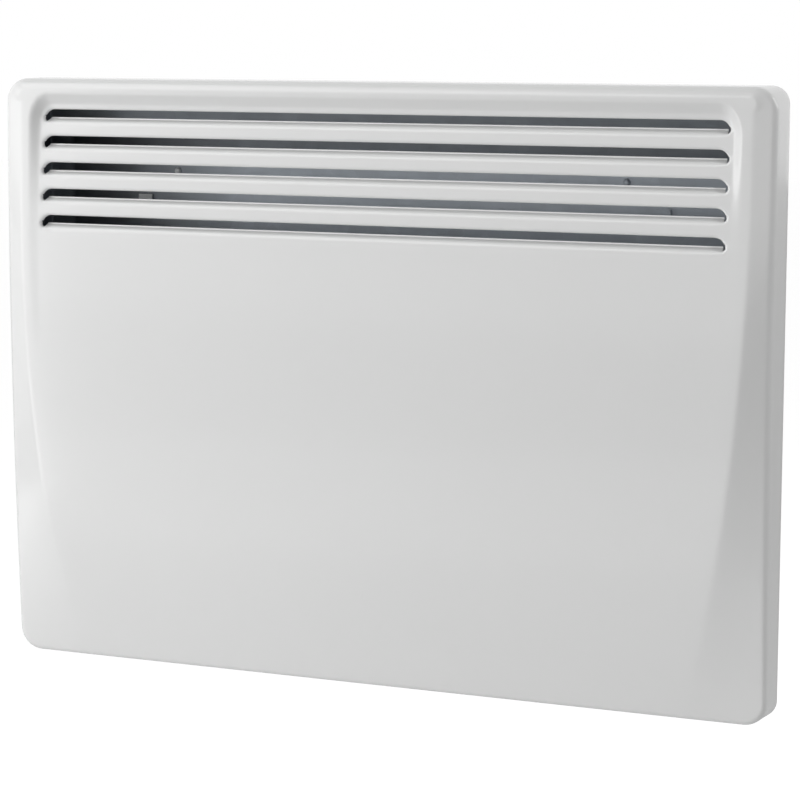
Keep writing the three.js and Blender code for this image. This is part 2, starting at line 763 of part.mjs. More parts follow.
// A pan-headed screw that points along +Y or -Y from under its head.
function makeScrew(start, direction, headRadius, shankRadius, shankLength) {
  const headHeight = 1.7;
  const profile = [
    [0, -headHeight], [headRadius * 0.7, -headHeight], [headRadius, -headHeight / 2],
    [headRadius, 0], [shankRadius, 0], [shankRadius, shankLength], [0, shankLength],
  ];
  const screw = turned('y', profile, [0, 0, 0], 8);
  if (direction < 0) screw.rotateX(Math.PI);
  screw.translate(...start);
  return screw;
}

rivetPlaces().forEach(([side, height], index) => {
  const inner = RAIL_HALF - BRACKET_SHEET - GAP - 1;
  const length = 2 * BRACKET_SHEET + 2 * (GAP + 1) + GAP;
  const start = side > 0 ? inner : -inner - length;
  addPart(`bracket_rivet_${index + 1}`,
    makeRivet('x', [start, RIVET_Y, height], length, 3.4, 2), zincScrew);
});

// ---------------------------------------------------------------- upper catches

// A sprung slide in each upright. Its nose reaches through the casing's back and turns up
// behind the sheet; pushed down by the ribbed ledge at its top, it lets the heater go.
const CATCH_WIDTH = UPRIGHT_WIDTH - 2 * BRACKET_SHEET - 2 * GAP;
const CATCH_FRONT = CASE_BACK + GAP + BRACKET_SHEET + GAP;
const CATCH_REAR = -BRACKET_SHEET - GAP;
const CATCH_WALL = 2;
const CATCH_CEILING = CATCH_TOP - 18; // the pocket's end, which the spring pushes on

function makeCatch(side) {
  const centre = side * UPRIGHT_X;
  const half = CATCH_WIDTH / 2;
  const body = boxBetween([centre - half, CATCH_FRONT, CATCH_BASE],
    [centre + half, CATCH_REAR, CATCH_TOP]);
  const noseOutline = [
    [CATCH_FRONT + 1, NOSE_LOW], [CATCH_FRONT + 1, NOSE_HIGH],
    [CASE_FLOOR - 1, NOSE_HIGH], [CASE_FLOOR - 1, NOSE_TIP],
    [CASE_FLOOR - 2.5, NOSE_TIP], [CASE_FLOOR - 4.5, NOSE_HIGH],
    [CASE_FLOOR - 4.5, NOSE_LOW],
  ];
  const nose = extruded('x', noseOutline.reverse(), centre - 6.5, 13);
  const ledgeLow = CATCH_TOP - 3;
  const ledge = extruded('x', [
    [CATCH_REAR, ledgeLow], [CATCH_FRONT, ledgeLow], [CATCH_FRONT, CATCH_TOP],
    [CATCH_FRONT + 6, CATCH_TOP + 2], [CATCH_REAR, CATCH_TOP + 2],
  ].reverse(), centre - half - 2, CATCH_WIDTH + 4);
  const ribs = [-5, -9, -13].map((y) => boxBetween(
    [centre - half + 2, y - 0.6, CATCH_TOP], [centre + half - 2, y + 0.6, CATCH_TOP + 2.8]));
  const pocket = boxBetween(
    [centre - half + CATCH_WALL, CATCH_FRONT + CATCH_WALL, CATCH_BASE - 1],
    [centre + half - CATCH_WALL, CATCH_REAR - CATCH_WALL, CATCH_CEILING]);
  return cut(join(body, [nose, ledge, ...ribs]), [pocket]);
}

// A compression spring between the upright's shelf and the catch's ceiling: a wire swept
// round a helix, with its first and last turns wound close.
const SPRING_RADIUS = 4;
const SPRING_WIRE = 0.6;
const SPRING_TURNS = 5;
const SPRING_TURN_STEPS = 8;
const SPRING_Y = -11;

class SpringCurve extends THREE.Curve {
  constructor(x, low, high) {
    super();
    this.x = x;
    this.low = low;
    this.high = high;
  }

  getPoint(share, target = new THREE.Vector3()) {
    const angle = share * SPRING_TURNS * 2 * Math.PI;
    const rise = share - Math.sin(2 * Math.PI * share) * 0.05;
    const height = this.low + (this.high - this.low) * rise;
    return target.set(this.x + SPRING_RADIUS * Math.cos(angle),
      SPRING_Y + SPRING_RADIUS * Math.sin(angle), height);
  }
}

function makeSpring(side) {
  const low = SPRING_SHELF + BRACKET_SHEET + GAP + SPRING_WIRE;
  const high = CATCH_CEILING - GAP - SPRING_WIRE;
  const curve = new SpringCurve(side * UPRIGHT_X, low, high);
  return roundBar(SPRING_WIRE, 5, curve, SPRING_TURNS * SPRING_TURN_STEPS);
}

// The least gap between the wires of one turn and the next.
function leastSpringGap() {
  const curve = new SpringCurve(0, SPRING_SHELF + BRACKET_SHEET, CATCH_CEILING);
  const points = curve.getPoints(SPRING_TURNS * 36);
  const apart = 18; // half a turn
  let least = Infinity;
  points.forEach((point, index) => {
    points.slice(index + apart).forEach((other) => {
      least = Math.min(least, point.distanceTo(other) - 2 * SPRING_WIRE);
    });
  });
  return least;
}

console.log(`least gap between spring turns: ${leastSpringGap().toFixed(2)} mm`);

[['left', -1], ['right', 1]].forEach(([name, side]) => {
  addPart(`catch_${name}`, makeCatch(side), greyPlastic);
  addPart(`catch_spring_${name}`, makeSpring(side), springSteel);
});

// ---------------------------------------------------------------- heating element

const HUB_RADIUS = 7.5;
const ARM_REACH = 27;
const ARM_ANGLE = Math.PI / 3;
const ARM_THICKNESS = 1.8;

// An aluminium extrusion: a hub with four ribbed arms in the form of an X.
function makeFins() {
  const length = 2 * FIN_HALF_LENGTH;
  const start = [-FIN_HALF_LENGTH, ELEMENT_Y, ELEMENT_HEIGHT];
  const arms = [1, -1].flatMap((side) => [1, -1].map((up) => {
    const arm = boxBetween([0, HUB_RADIUS - 1, -ARM_THICKNESS / 2],
      [length, ARM_REACH, ARM_THICKNESS / 2]);
    const ribs = [13, 18, 23].map((along, index) => {
      const half = 5 - index;
      return boxBetween([0, along - 0.7, -half], [length, along + 0.7, half]);
    });
    const fin = join(arm, ribs);
    fin.rotateX(up * (side > 0 ? ARM_ANGLE : Math.PI - ARM_ANGLE));
    fin.translate(...start);
    return fin;
  }));
  const hub = rod('x', HUB_RADIUS, start, length, 16);
  const bore = rod('x', SHEATH_RADIUS + GAP, [start[0] - 1, start[1], start[2]], length + 2, 16);
  return cut(join(hub, arms), [bore]);
}

addPart('element_fins', makeFins(), aluminium);

const SHEATH_HALF = 228;
const PIN_LENGTH = 19;
addPart('element_sheath',
  rod('x', SHEATH_RADIUS, [-SHEATH_HALF, ELEMENT_Y, ELEMENT_HEIGHT], 2 * SHEATH_HALF, 16),
  sheathSteel);

// The element hangs in a grooved silicone bush at each end.
const BUSH_GROOVE = BUSH_RADIUS - 1.8;

function makeBush(side) {
  const bore = SHEATH_RADIUS + GAP;
  const half = 4.5;
  const groove = 0.9;
  return turned('x', [
    [bore, -half], [BUSH_RADIUS, -half], [BUSH_RADIUS, -groove], [BUSH_GROOVE, -groove],
    [BUSH_GROOVE, groove], [BUSH_RADIUS, groove], [BUSH_RADIUS, half], [bore, half],
    [bore, -half],
  ], [side * ELEMENT_BRACKET_X, ELEMENT_Y, ELEMENT_HEIGHT], 12);
}

// A folded bracket: foot on the casing, web round the bush, face for the heat shield.
function makeElementBracket(side) {
  const outer = side * (ELEMENT_BRACKET_X + ELEMENT_BRACKET_SHEET / 2);
  const inner = side * (ELEMENT_BRACKET_X - ELEMENT_BRACKET_SHEET / 2);
  const toe = side * (ELEMENT_BRACKET_X - ELEMENT_BRACKET_FOOT);
  const back = CASE_FLOOR - GAP;
  const outline = [
    [outer, back], [toe, back], [toe, back - ELEMENT_BRACKET_SHEET],
    [inner, back - ELEMENT_BRACKET_SHEET], [inner, SHIELD_SEAT + ELEMENT_BRACKET_SHEET],
    [toe, SHIELD_SEAT + ELEMENT_BRACKET_SHEET], [toe, SHIELD_SEAT], [outer, SHIELD_SEAT],
  ];
  const fold = extruded('z', outline, ELEMENT_BRACKET_LOW,
    ELEMENT_BRACKET_HIGH - ELEMENT_BRACKET_LOW);
  const bushHole = rod('x', BUSH_GROOVE + GAP,
    [side * ELEMENT_BRACKET_X - 3, ELEMENT_Y, ELEMENT_HEIGHT], 6, 16);
  const fixings = elementFixings(side).flatMap(([x, height]) => [
    rod('y', 1.9, [x, CASE_FLOOR - 3, height], 4, 8),
    rod('y', 1.9, [x, SHIELD_SEAT - 1, height], 4, 8),
  ]);
  return cut(fold, [bushHole, ...fixings]);
}

function elementFixings(side) {
  return [ELEMENT_BRACKET_LOW + 9, ELEMENT_BRACKET_HIGH - 9]
    .map((height) => [side * (ELEMENT_BRACKET_X - 8), height]);
}

function makePin(side) {
  const start = SHEATH_HALF + GAP;
  const origin = side > 0 ? start : -start - PIN_LENGTH;
  const pin = rod('x', 1.2, [origin, ELEMENT_Y, ELEMENT_HEIGHT], PIN_LENGTH, 10);
  const bladeEnds = [side * (start + 10), side * (start + PIN_LENGTH)];
  const blade = boxBetween(
    [Math.min(...bladeEnds), ELEMENT_Y - 0.4, ELEMENT_HEIGHT - 3.2],
    [Math.max(...bladeEnds), ELEMENT_Y + 0.4, ELEMENT_HEIGHT + 3.2]);
  return join(pin, [blade]);
}

function makeInsulator(side) {
  const bore = 1.2 + GAP;
  const length = 8;
  const start = side > 0 ? SHEATH_HALF + GAP : -SHEATH_HALF - GAP - length;
  return turned('x', [
    [bore, 0], [3.6, 0], [3.6, length], [bore, length], [bore, 0],
  ], [start, ELEMENT_Y, ELEMENT_HEIGHT], 12);
}

[['left', -1], ['right', 1]].forEach(([name, side]) => {
  addPart(`element_bush_${name}`, makeBush(side), silicone);
  addPart(`element_bracket_${name}`, makeElementBracket(side), galvanised);
  addPart(`element_insulator_${name}`, makeInsulator(side), ceramic);
  addPart(`element_pin_${name}`, makePin(side), brass);
});

[...elementFixings(-1), ...elementFixings(1)].forEach(([x, height], index) => {
  const front = CASE_FLOOR - GAP - ELEMENT_BRACKET_SHEET - GAP - 1;
  const length = CASE_BACK + GAP + 1 - front;
  addPart(`element_rivet_${index + 1}`,
    makeRivet('y', [x, front, height], length, 2.8, 1.5), zincScrew);
});

// ---------------------------------------------------------------- heat shield

const SHIELD_SHEET = 0.8;
const SHIELD_BACK = SHIELD_SEAT - GAP;
const SHIELD_HALF = 222;
const SHIELD_LOW = 78;
const SHIELD_HIGH = 286;

// A flat plate between element and cover, its foot turned back and its head forward.
function makeHeatShield() {
  const front = SHIELD_BACK - SHIELD_SHEET;
  const outline = [
    [SHIELD_BACK + 7, SHIELD_LOW - 4], [SHIELD_BACK, SHIELD_LOW],
    [SHIELD_BACK, SHIELD_HIGH], [SHIELD_BACK - 4, SHIELD_HIGH + 6],
    [front - 4, SHIELD_HIGH + 6], [front, SHIELD_HIGH],
    [front, SHIELD_LOW - 0.5], [SHIELD_BACK + 7, SHIELD_LOW - 5],
  ];
  const plate = extruded('x', outline.reverse(), -SHIELD_HALF, 2 * SHIELD_HALF);
  const places = [...elementFixings(-1), ...elementFixings(1), ...cutoutFixings()];
  const holes = places.map(([x, height]) => rod('y', 1.9, [x, SHIELD_BACK - 2, height], 4, 8));
  return cut(plate, holes);
}

const CUTOUT_X = 110;
const CUTOUT_HEIGHT = 178;
const CUTOUT_BLADE_X = 3.5;
const CUTOUT_BLADE_TOP = CUTOUT_HEIGHT + 4;

function cutoutFixings() {
  return [-12, 12].map((offset) => [CUTOUT_X + offset, CUTOUT_HEIGHT]);
}

addPart('heat_shield', makeHeatShield(), galvanised);

[...elementFixings(-1), ...elementFixings(1)].forEach(([x, height], index) => {
  const seat = SHIELD_BACK - SHIELD_SHEET - GAP;
  addPart(`shield_screw_${index + 1}`, makeScrew([x, seat, height], 1, 2.8, 1.5, 5),
    zincScrew);
});

// The thermal cut-out: a disc on a flange against the shield's back, with two blades.
function makeCutout() {
  const seat = SHIELD_SEAT;
  const flange = extruded('y', obround(CUTOUT_X, CUTOUT_HEIGHT, 34, 11), seat + 0.9, 0.9);
  const body = turned('y', [[0, 0], [8, 0], [8, 5], [7, 8], [0, 8]],
    [CUTOUT_X, seat + 0.5, CUTOUT_HEIGHT], 18);
  const blades = [-CUTOUT_BLADE_X, CUTOUT_BLADE_X].map((offset) => boxBetween(
    [CUTOUT_X + offset - 0.4, seat + 6, CUTOUT_HEIGHT - 2],
    [CUTOUT_X + offset + 0.4, seat + 14, CUTOUT_BLADE_TOP]));
  const holes = cutoutFixings().map(([x, height]) => rod('y', 1.7, [x, seat - 1, height], 3, 10));
  return cut(join(flange, [body, ...blades]), holes);
}

addPart('thermal_cutout', makeCutout(), blackPlastic);

cutoutFixings().forEach(([x, height], index) => {
  const front = SHIELD_BACK - SHIELD_SHEET - GAP - 1;
  const length = SHIELD_SEAT + 0.9 + GAP + 1 - front;
  addPart(`cutout_rivet_${index + 1}`,
    makeRivet('y', [x, front, height], length, 2.4, 1.3), zincScrew);
});

// ---------------------------------------------------------------- controls

const HOUSING_LOW = 10.6;
const HOUSING_HIGH = 72;
const HOUSING_BACK = CASE_FLOOR - GAP;
const HOUSING_FRONT = -64;
const HOUSING_WALL = 1.8;
const HOUSING_FLOOR = HOUSING_LOW + HOUSING_WALL;
const BEZEL_FACE = 0.5;
const BEZEL_TOP = HOUSING_LOW - GAP;
const KNOB_RECESS = 6;
const SWITCH_HALF_LENGTH = 9.5;
const SWITCH_HALF_WIDTH = 6;
const SWITCH_PIVOT = 3.5;
const SHAFT_RADIUS = 2;
const WIRE_EXIT_X = 184;
const TERMINAL_TOP = 62;
const TERMINAL_FRONT = -52;

// Holes for the shaft, switch and lamp, cut alike through the bezel and the housing.
function controlHoles(low, high) {
  const thickness = high - low;
  const slack = 0.3;
  return [
    rod('z', SHAFT_RADIUS + 0.8, [KNOB_X, CONTROL_Y, low], thickness, 14),
    rod('z', 2.7, [LAMP_X, CONTROL_Y, low], thickness, 14),
    boxBetween(
      [SWITCH_X - SWITCH_HALF_LENGTH - slack, CONTROL_Y - SWITCH_HALF_WIDTH - slack, low],
      [SWITCH_X + SWITCH_HALF_LENGTH + slack, CONTROL_Y + SWITCH_HALF_WIDTH + slack, high]),
  ];
}

function makeHousing() {
  const shell = extruded('y',
    roundedRectangle(CONTROL_LOW_X, CONTROL_HIGH_X, HOUSING_LOW, HOUSING_HIGH, 3),
    HOUSING_BACK, HOUSING_BACK - HOUSING_FRONT);
  const room = extruded('y', roundedRectangle(CONTROL_LOW_X + HOUSING_WALL,
    CONTROL_HIGH_X - HOUSING_WALL, HOUSING_FLOOR, HOUSING_HIGH - HOUSING_WALL, 1.5),
  HOUSING_BACK - HOUSING_WALL, 40);
  const glandHole = rod('y', 6.3, [GLAND_X, HOUSING_BACK - 3, GLAND_HEIGHT], 5);
  const wireExit = extruded('z', obround(WIRE_EXIT_X, CONTROL_Y, 18, 7), HOUSING_HIGH - 4, 6);
  return cut(shell, [
    room,
    glandHole,
    wireExit,
    ...controlHoles(HOUSING_LOW - 1, HOUSING_FLOOR + 1),
  ]);
}

function makeLid() {
  const plate = extruded('y',
    roundedRectangle(CONTROL_LOW_X, CONTROL_HIGH_X, HOUSING_LOW, HOUSING_HIGH, 3),
    HOUSING_FRONT - GAP, HOUSING_WALL);
  const inset = HOUSING_WALL + GAP;
  const tongue = extruded('y', roundedRectangle(CONTROL_LOW_X + inset, CONTROL_HIGH_X - inset,
    HOUSING_LOW + inset, HOUSING_HIGH - inset, 1.5), HOUSING_FRONT + 1.2, 2);
  return join(plate, [tongue]);
}

function makeBezel() {
  const block = extruded('z',
    roundedRectangle(CONTROL_LOW_X + 4.5, CONTROL_HIGH_X - 4.5, -61.5, -34, 2),
    BEZEL_FACE, BEZEL_TOP - BEZEL_FACE);
  const recess = rod('z', KNOB_RADIUS + 2, [KNOB_X, CONTROL_Y, BEZEL_FACE - 1],
    KNOB_RECESS + 1, 28);
  return cut(block, [recess, ...controlHoles(BEZEL_FACE - 1, BEZEL_TOP + 1)]);
}

// A dial with a grip bar that ends in a pointer.
function makeKnob() {
  const discLow = 2;
  const discHigh = BEZEL_FACE + KNOB_RECESS - 0.6;
  const disc = turned('z', [
    [0, discLow], [KNOB_RADIUS - 0.8, discLow], [KNOB_RADIUS, discLow + 0.8],
    [KNOB_RADIUS, discHigh], [0, discHigh],
  ], [KNOB_X, CONTROL_Y, 0], 28);
  const grip = new THREE.Shape();
  const half = 2.6;
  const reach = KNOB_RADIUS - 1.5;
  grip.moveTo(KNOB_X - half, CONTROL_Y - reach + half);
  grip.absarc(KNOB_X, CONTROL_Y - reach + half, half, Math.PI, 2 * Math.PI);
  grip.lineTo(KNOB_X + half, CONTROL_Y + reach - half);
  grip.lineTo(KNOB_X, CONTROL_Y + reach);
  grip.lineTo(KNOB_X - half, CONTROL_Y + reach - half);
  const bar = extruded('z', grip, -1.5, 4);
  const socket = rod('z', SHAFT_RADIUS + GAP, [KNOB_X, CONTROL_Y, 0.2], 10, 14);
  return cut(join(disc, [bar]), [socket]);
}

function makeShaft() {
  const shaft = rod('z', SHAFT_RADIUS, [KNOB_X, CONTROL_Y, 0.6], 27, 14);
  const flat = boxBetween([KNOB_X - 3, CONTROL_Y + 1.2, 0], [KNOB_X + 3, CONTROL_Y + 3, 8]);
  return cut(shaft, [flat]);
}

function makeThermostat() {
  const low = HOUSING_FLOOR + GAP;
  const body = extruded('z', roundedRectangle(KNOB_X - 13, KNOB_X + 13, -58.5, -36.5, 1.5),
    low, 19);
  const blades = [-7, 7].map((offset) => boxBetween(
    [KNOB_X + offset - 3, -40, low + 18], [KNOB_X + offset + 3, -39.2, low + 26]));
  const bore = rod('z', SHAFT_RADIUS + GAP, [KNOB_X, CONTROL_Y, low - 1], 17, 14);
  return cut(join(body, blades), [bore]);
}

function makeSwitchFrame() {
  const flangeHalf = SWITCH_HALF_LENGTH + 1.5;
  const flange = extruded('z', roundedRectangle(SWITCH_X - flangeHalf, SWITCH_X + flangeHalf,
    CONTROL_Y - SWITCH_HALF_WIDTH - 1.5, CONTROL_Y + SWITCH_HALF_WIDTH + 1.5, 1), -1, 1.2);
  const body = boxBetween(
    [SWITCH_X - SWITCH_HALF_LENGTH, CONTROL_Y - SWITCH_HALF_WIDTH, -0.5],
    [SWITCH_X + SWITCH_HALF_LENGTH, CONTROL_Y + SWITCH_HALF_WIDTH, 22]);
  const blades = [-5, 5].map((offset) => boxBetween(
    [SWITCH_X + offset - 0.4, CONTROL_Y - 3, 21], [SWITCH_X + offset + 0.4, CONTROL_Y + 3, 29]));
  const well = boxBetween([SWITCH_X - 7.8, CONTROL_Y - 4.6, -2],
    [SWITCH_X + 7.8, CONTROL_Y + 4.6, SWITCH_PIVOT + 5]);
  return cut(join(flange, [body, ...blades]), [well]);
}

// The rocker rests with its left half pressed in.
const ROCKER_REST_TILT = THREE.MathUtils.degToRad(8);

function makeRocker() {
  const outline = [
    [-6.5, -4.6], [0, -3.4], [6.5, -4.6], [6.2, 1], [2, 3], [-2, 3], [-6.2, 1],
  ];
  const rocker = extruded('y', outline, 4.3, 8.6);
  rocker.rotateY(ROCKER_REST_TILT);
  rocker.translate(SWITCH_X, CONTROL_Y, SWITCH_PIVOT);
  return rocker;
}

function makeLamp() {
  return turned('z', [
    [0, -1.4], [1.6, -1], [2.4, 0], [3.2, 0], [3.2, 0.2], [2.4, 0.2], [2.4, 15], [0, 15],
  ], [LAMP_X, CONTROL_Y, 0], 12);
}

// A three-way block with its screw wells in front and its cable wells below.
function makeTerminalBlock() {
  const low = 44;
  const block = boxBetween([173, TERMINAL_FRONT, low],
    [207, HOUSING_BACK - HOUSING_WALL - GAP, TERMINAL_TOP]);
  const ways = [179, 190, 201];
  const screwWells = ways.map((x) => rod('y', 2.2, [x, TERMINAL_FRONT - 1, low + 9], 6, 8));
  const wireWells = ways.map((x) => rod('z', 1.8, [x, -40, low - 1], 6, 8));
  return cut(block, [...screwWells, ...wireWells]);
}

addPart('control_housing', makeHousing(), greyPlastic);
addPart('control_lid', makeLid(), greyPlastic);
addPart('control_bezel', makeBezel(), whitePlastic);
addPart('thermostat_knob', makeKnob(), whitePlastic);
addPart('thermostat_shaft', makeShaft(), brass);
addPart('thermostat_body', makeThermostat(), blackPlastic);
addPart('switch_frame', makeSwitchFrame(), blackPlastic);
addPart('power_rocker', makeRocker(), blackPlastic);
addPart('pilot_lamp', makeLamp(), amberPlastic);
addPart('terminal_block', makeTerminalBlock(), ceramic);

// ---------------------------------------------------------------- cable inlet

function makeGland() {
  const bore = 3.9;
  return turned('y', [
    [bore, -37], [6, -37], [6, CASE_BACK + GAP], [9, CASE_BACK + GAP], [9, -24.5],
    [7.6, -23], [7, -18], [bore, -18], [bore, -37],
  ], [GLAND_X, 0, GLAND_HEIGHT], 18);
}

function makeGlandNut() {
  const start = [GLAND_X, -35.6, GLAND_HEIGHT];
  const blank = rod('y', 9.5, start, HOUSING_BACK - HOUSING_WALL - GAP - start[1], 6);
  return cut(blank, [rod('y', 6.3, [GLAND_X, -36, GLAND_HEIGHT], 5, 20)]);
}

addPart('cable_gland', makeGland(), greyPlastic);
addPart('gland_nut', makeGlandNut(), greyPlastic);

// ---------------------------------------------------------------- room sensor and wiring

const SENSOR_HEIGHT = 20;
const SENSOR_Y = -52;

addPart('sensor_bulb', rod('x', 2.6, [98, SENSOR_Y, SENSOR_HEIGHT], 42, 12), brass);

function makeSensorClip() {
  const foot = boxBetween([112, -57, CASE_INSET + SHEET + GAP],
    [120, -44, CASE_INSET + SHEET + GAP + 1.2]);
  const post = boxBetween([112, SENSOR_Y - 1, CASE_INSET + SHEET + GAP + 1],
    [120, SENSOR_Y + 1, SENSOR_HEIGHT - 2.2]);
  const collar = rod('x', 4.4, [112, SENSOR_Y, SENSOR_HEIGHT], 8, 14);
  const bore = rod('x', 2.6 + GAP, [111, SENSOR_Y, SENSOR_HEIGHT], 10, 14);
  return cut(join(foot, [post, collar]), [bore]);
}

addPart('sensor_clip', makeSensorClip(), whitePlastic);

// The bulb's capillary runs to the control box.
addPart('sensor_capillary', roundBar(0.8, 6, new RouteCurve([
  [140 + GAP, SENSOR_Y, SENSOR_HEIGHT], [148, SENSOR_Y, SENSOR_HEIGHT],
  [156, -50, 26], [162, -48, 30], [CONTROL_LOW_X - GAP, -48, 30],
].map((point) => new THREE.Vector3(...point))), 8), brass);

const WIRE_START = TERMINAL_TOP + GAP;
const PIN_END = SHEATH_HALF + GAP + PIN_LENGTH + GAP + WIRE_RADIUS;

addPart('wire_element_right', wireAlong([
  [WIRE_EXIT_X + 6, CONTROL_Y, WIRE_START], [WIRE_EXIT_X + 6, CONTROL_Y, 73],
  [WIRE_EXIT_X + 12, CONTROL_Y, 78], [232, -46, 78], [244, -48, 84],
  [PIN_END, ELEMENT_Y, 96], [PIN_END, ELEMENT_Y, 109],
]), whiteWire);

addPart('wire_element_left', wireAlong([
  [WIRE_EXIT_X - 6, CONTROL_Y, WIRE_START], [WIRE_EXIT_X - 6, CONTROL_Y, 74.5],
  [168, -43, 79], [148, -35, 75], [0, -33, 72], [-190, -33, 73], [-234, -38, 78],
  [-PIN_END, ELEMENT_Y, 96], [-PIN_END, ELEMENT_Y, 109],
]), whiteWire);

[-2, 2].forEach((offset, index) => {
  const bladeX = CUTOUT_X - (CUTOUT_BLADE_X / 2) * offset;
  const bladeY = SHIELD_SEAT + 10;
  addPart(`wire_cutout_${index + 1}`, wireAlong([
    [WIRE_EXIT_X + offset, -49.5, WIRE_START], [WIRE_EXIT_X + offset, -49.5, 76],
    [200 + offset, -46, 90], [200 + offset, -40, 130], [186 + offset, -40, 160 + offset],
    [140, -42, 192 + offset], [bladeX + 6, -52, 200 + offset], [bladeX, bladeY, 192],
    [bladeX, bladeY, CUTOUT_BLADE_TOP + GAP],
  ]), greyWire);
});

addPart('wire_earth', wireAlong([
  [WIRE_EXIT_X, -45.3, WIRE_START], [WIRE_EXIT_X, -45.3, 74], [188, -42, 79],
  [EARTH_TAB_X - 0.4 - GAP - WIRE_RADIUS, CASE_FLOOR - 6, EARTH_TAB_HEIGHT],
]), earthWire);

// The bonding lead runs from the casing's back to the cover's left side wall.
addPart('earth_lead', wireAlong([
  [-246, CASE_FLOOR - GAP, 364], [-246, -38, 364], [-251, -52, 366], [-256, -62, 367],
  [-263, -63, 367], [-HALF_WIDTH + SHEET + GAP, -63, 367],
]), earthWire);

export default assembly;
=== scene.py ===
import json
import math

import bmesh
import bpy
import numpy as np
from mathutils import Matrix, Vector
from mathutils.geometry import delaunay_2d_cdt


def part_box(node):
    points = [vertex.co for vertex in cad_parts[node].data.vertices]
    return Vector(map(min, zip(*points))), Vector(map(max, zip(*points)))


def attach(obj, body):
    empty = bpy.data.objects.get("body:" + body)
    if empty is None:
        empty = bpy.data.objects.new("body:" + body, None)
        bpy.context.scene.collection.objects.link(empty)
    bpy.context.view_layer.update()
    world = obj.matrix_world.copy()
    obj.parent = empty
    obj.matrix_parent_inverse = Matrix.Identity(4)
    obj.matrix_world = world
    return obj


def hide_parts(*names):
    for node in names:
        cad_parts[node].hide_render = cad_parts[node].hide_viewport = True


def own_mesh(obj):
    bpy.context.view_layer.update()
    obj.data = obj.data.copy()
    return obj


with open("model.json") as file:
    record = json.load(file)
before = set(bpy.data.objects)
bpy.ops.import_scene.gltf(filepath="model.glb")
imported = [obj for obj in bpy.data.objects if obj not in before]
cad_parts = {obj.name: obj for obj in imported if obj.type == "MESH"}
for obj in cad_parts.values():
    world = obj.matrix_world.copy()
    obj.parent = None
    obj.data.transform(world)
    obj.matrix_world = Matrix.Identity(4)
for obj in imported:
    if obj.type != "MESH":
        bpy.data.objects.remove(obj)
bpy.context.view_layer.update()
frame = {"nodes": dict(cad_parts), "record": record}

NODES = frame["nodes"]
MM = 0.001

# ---------------------------------------------------------------- driving dimensions, mm

# The outline comes from the frame. Heights below are above the cover's bottom edge.
COVER_LOW, COVER_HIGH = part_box("front_cover")
BOTTOM = COVER_LOW.z / MM
HALF_WIDTH = COVER_HIGH.x / MM
HEIGHT = (COVER_HIGH.z - COVER_LOW.z) / MM
COVER_BACK = COVER_HIGH.y / MM
CASING_SHEET = 1
CASING_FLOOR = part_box("rear_casing")[1].y - CASING_SHEET * MM  # inside of its back, metres

SHEET = 1.1
CORNER_RADIUS = 15.5
BACK_CORNER_RADIUS = 11.6
EDGE_RADIUS = 3.5
FLANGE_WIDTH = 7.5
FLANGE_BEND = 1.2

RIM_DEPTH = 33.4
RIM_PEAK_HEIGHT = 242
RIM_BOW_RADIUS = 4800
PANEL_DEPTH = 41.85
PANEL_PEAK_HEIGHT = 197
PANEL_BOW_RADIUS = 1370

CREST_RISE = 3.6
CREST_FADE_LOW = 200
CREST_FADE_HIGH = 260
CREST_BLEND = 1.2
CREST_WIDTH = 6
TOP_CREST_WIDTH = 2.2
STEP_WIDTH = 7
TOP_STEP_WIDTH = 10
STEP_ROUNDING = 0.25  # share of the step taken by the curve at each end
STEP_CORNER_RADIUS = 12
SIDE_FACET_WIDTH = 14.2
TOP_FACET_WIDTH = 6.5
RIDGE_START_HEIGHT = 320
RIDGE_SWEEP_RADIUS = 1330
RIDGE_ROUNDING = 0.06  # share of the facet's width over which the ridge is rounded

LOUVRE_COUNT = 5
LOUVRE_TOP = 379.3
LOUVRE_PITCH = 17.85
LOUVRE_HEIGHT = 8
LOUVRE_HALF_LENGTH = 240.4
LOUVRE_CORNER_RADIUS = 7
LOUVRE_FOOT_RADIUS = 2
ROLL_RADIUS = 2  # of the slot's rolled-in edge
LIP_RISE = 2.6
LIP_BEND_DROP = 3.3  # how far below the slot the lip's bend starts
LIP_ROOT_INSET = 1.6
LIP_TIP_INSET = 2.6
LIP_ROLL = 5  # radius of the lip's bend, which tightens to the slot's roll at both ends
LIP_TAPER = 8  # length over which it tightens
LIP_TURN = math.radians(71)  # how far the lip is bent back from the face
LIP_END_TURN = math.radians(65)
LIP_HEM = 0.8  # height of the lip's upturned edge
HEM_TURN = math.radians(20)

INLET_COUNT = 7
INLET_PITCH = 55
INLET_FIRST = -232
INLET_LENGTH = 46
INLET_WIDTH = 5
INLET_ROWS = (-49, -58.5)
NOTCH_LOW_X, NOTCH_HIGH_X = 172, 246  # the bottom wall's notch for the control bezel
NOTCH_FRONT = -62
NOTCH_RISE = 8.5
SCREW_COUNT = 4
SCREW_HOLE_RADIUS = 1.8
CUT_MARGIN = 1  # how far a cutter reaches past the sheet that it cuts

NEAR = 1e-4  # a point this close to an edge counts as on it

# ---------------------------------------------------------------- camera

CAMERA_PLACE = Vector((0.67013, -1.61192, 0.24481))
CAMERA_PITCH = math.radians(8.522)
CAMERA_YAW = math.radians(22.826)
CAMERA_LENS = 116.576
SENSOR_WIDTH = 36
CLIP_NEAR = 0.02
CLIP_FAR = 200


def make_camera():
    data = bpy.data.cameras.new("camera")
    data.lens = CAMERA_LENS
    data.sensor_width = SENSOR_WIDTH
    data.sensor_fit = "HORIZONTAL"
    data.clip_start = CLIP_NEAR
    data.clip_end = CLIP_FAR
    camera = bpy.data.objects.new("camera", data)
    camera.location = CAMERA_PLACE
    camera.rotation_euler = (math.pi / 2 - CAMERA_PITCH, 0, CAMERA_YAW)
    bpy.context.scene.collection.objects.link(camera)
    bpy.context.scene.camera = camera


make_camera()

# ---------------------------------------------------------------- front cover's surface


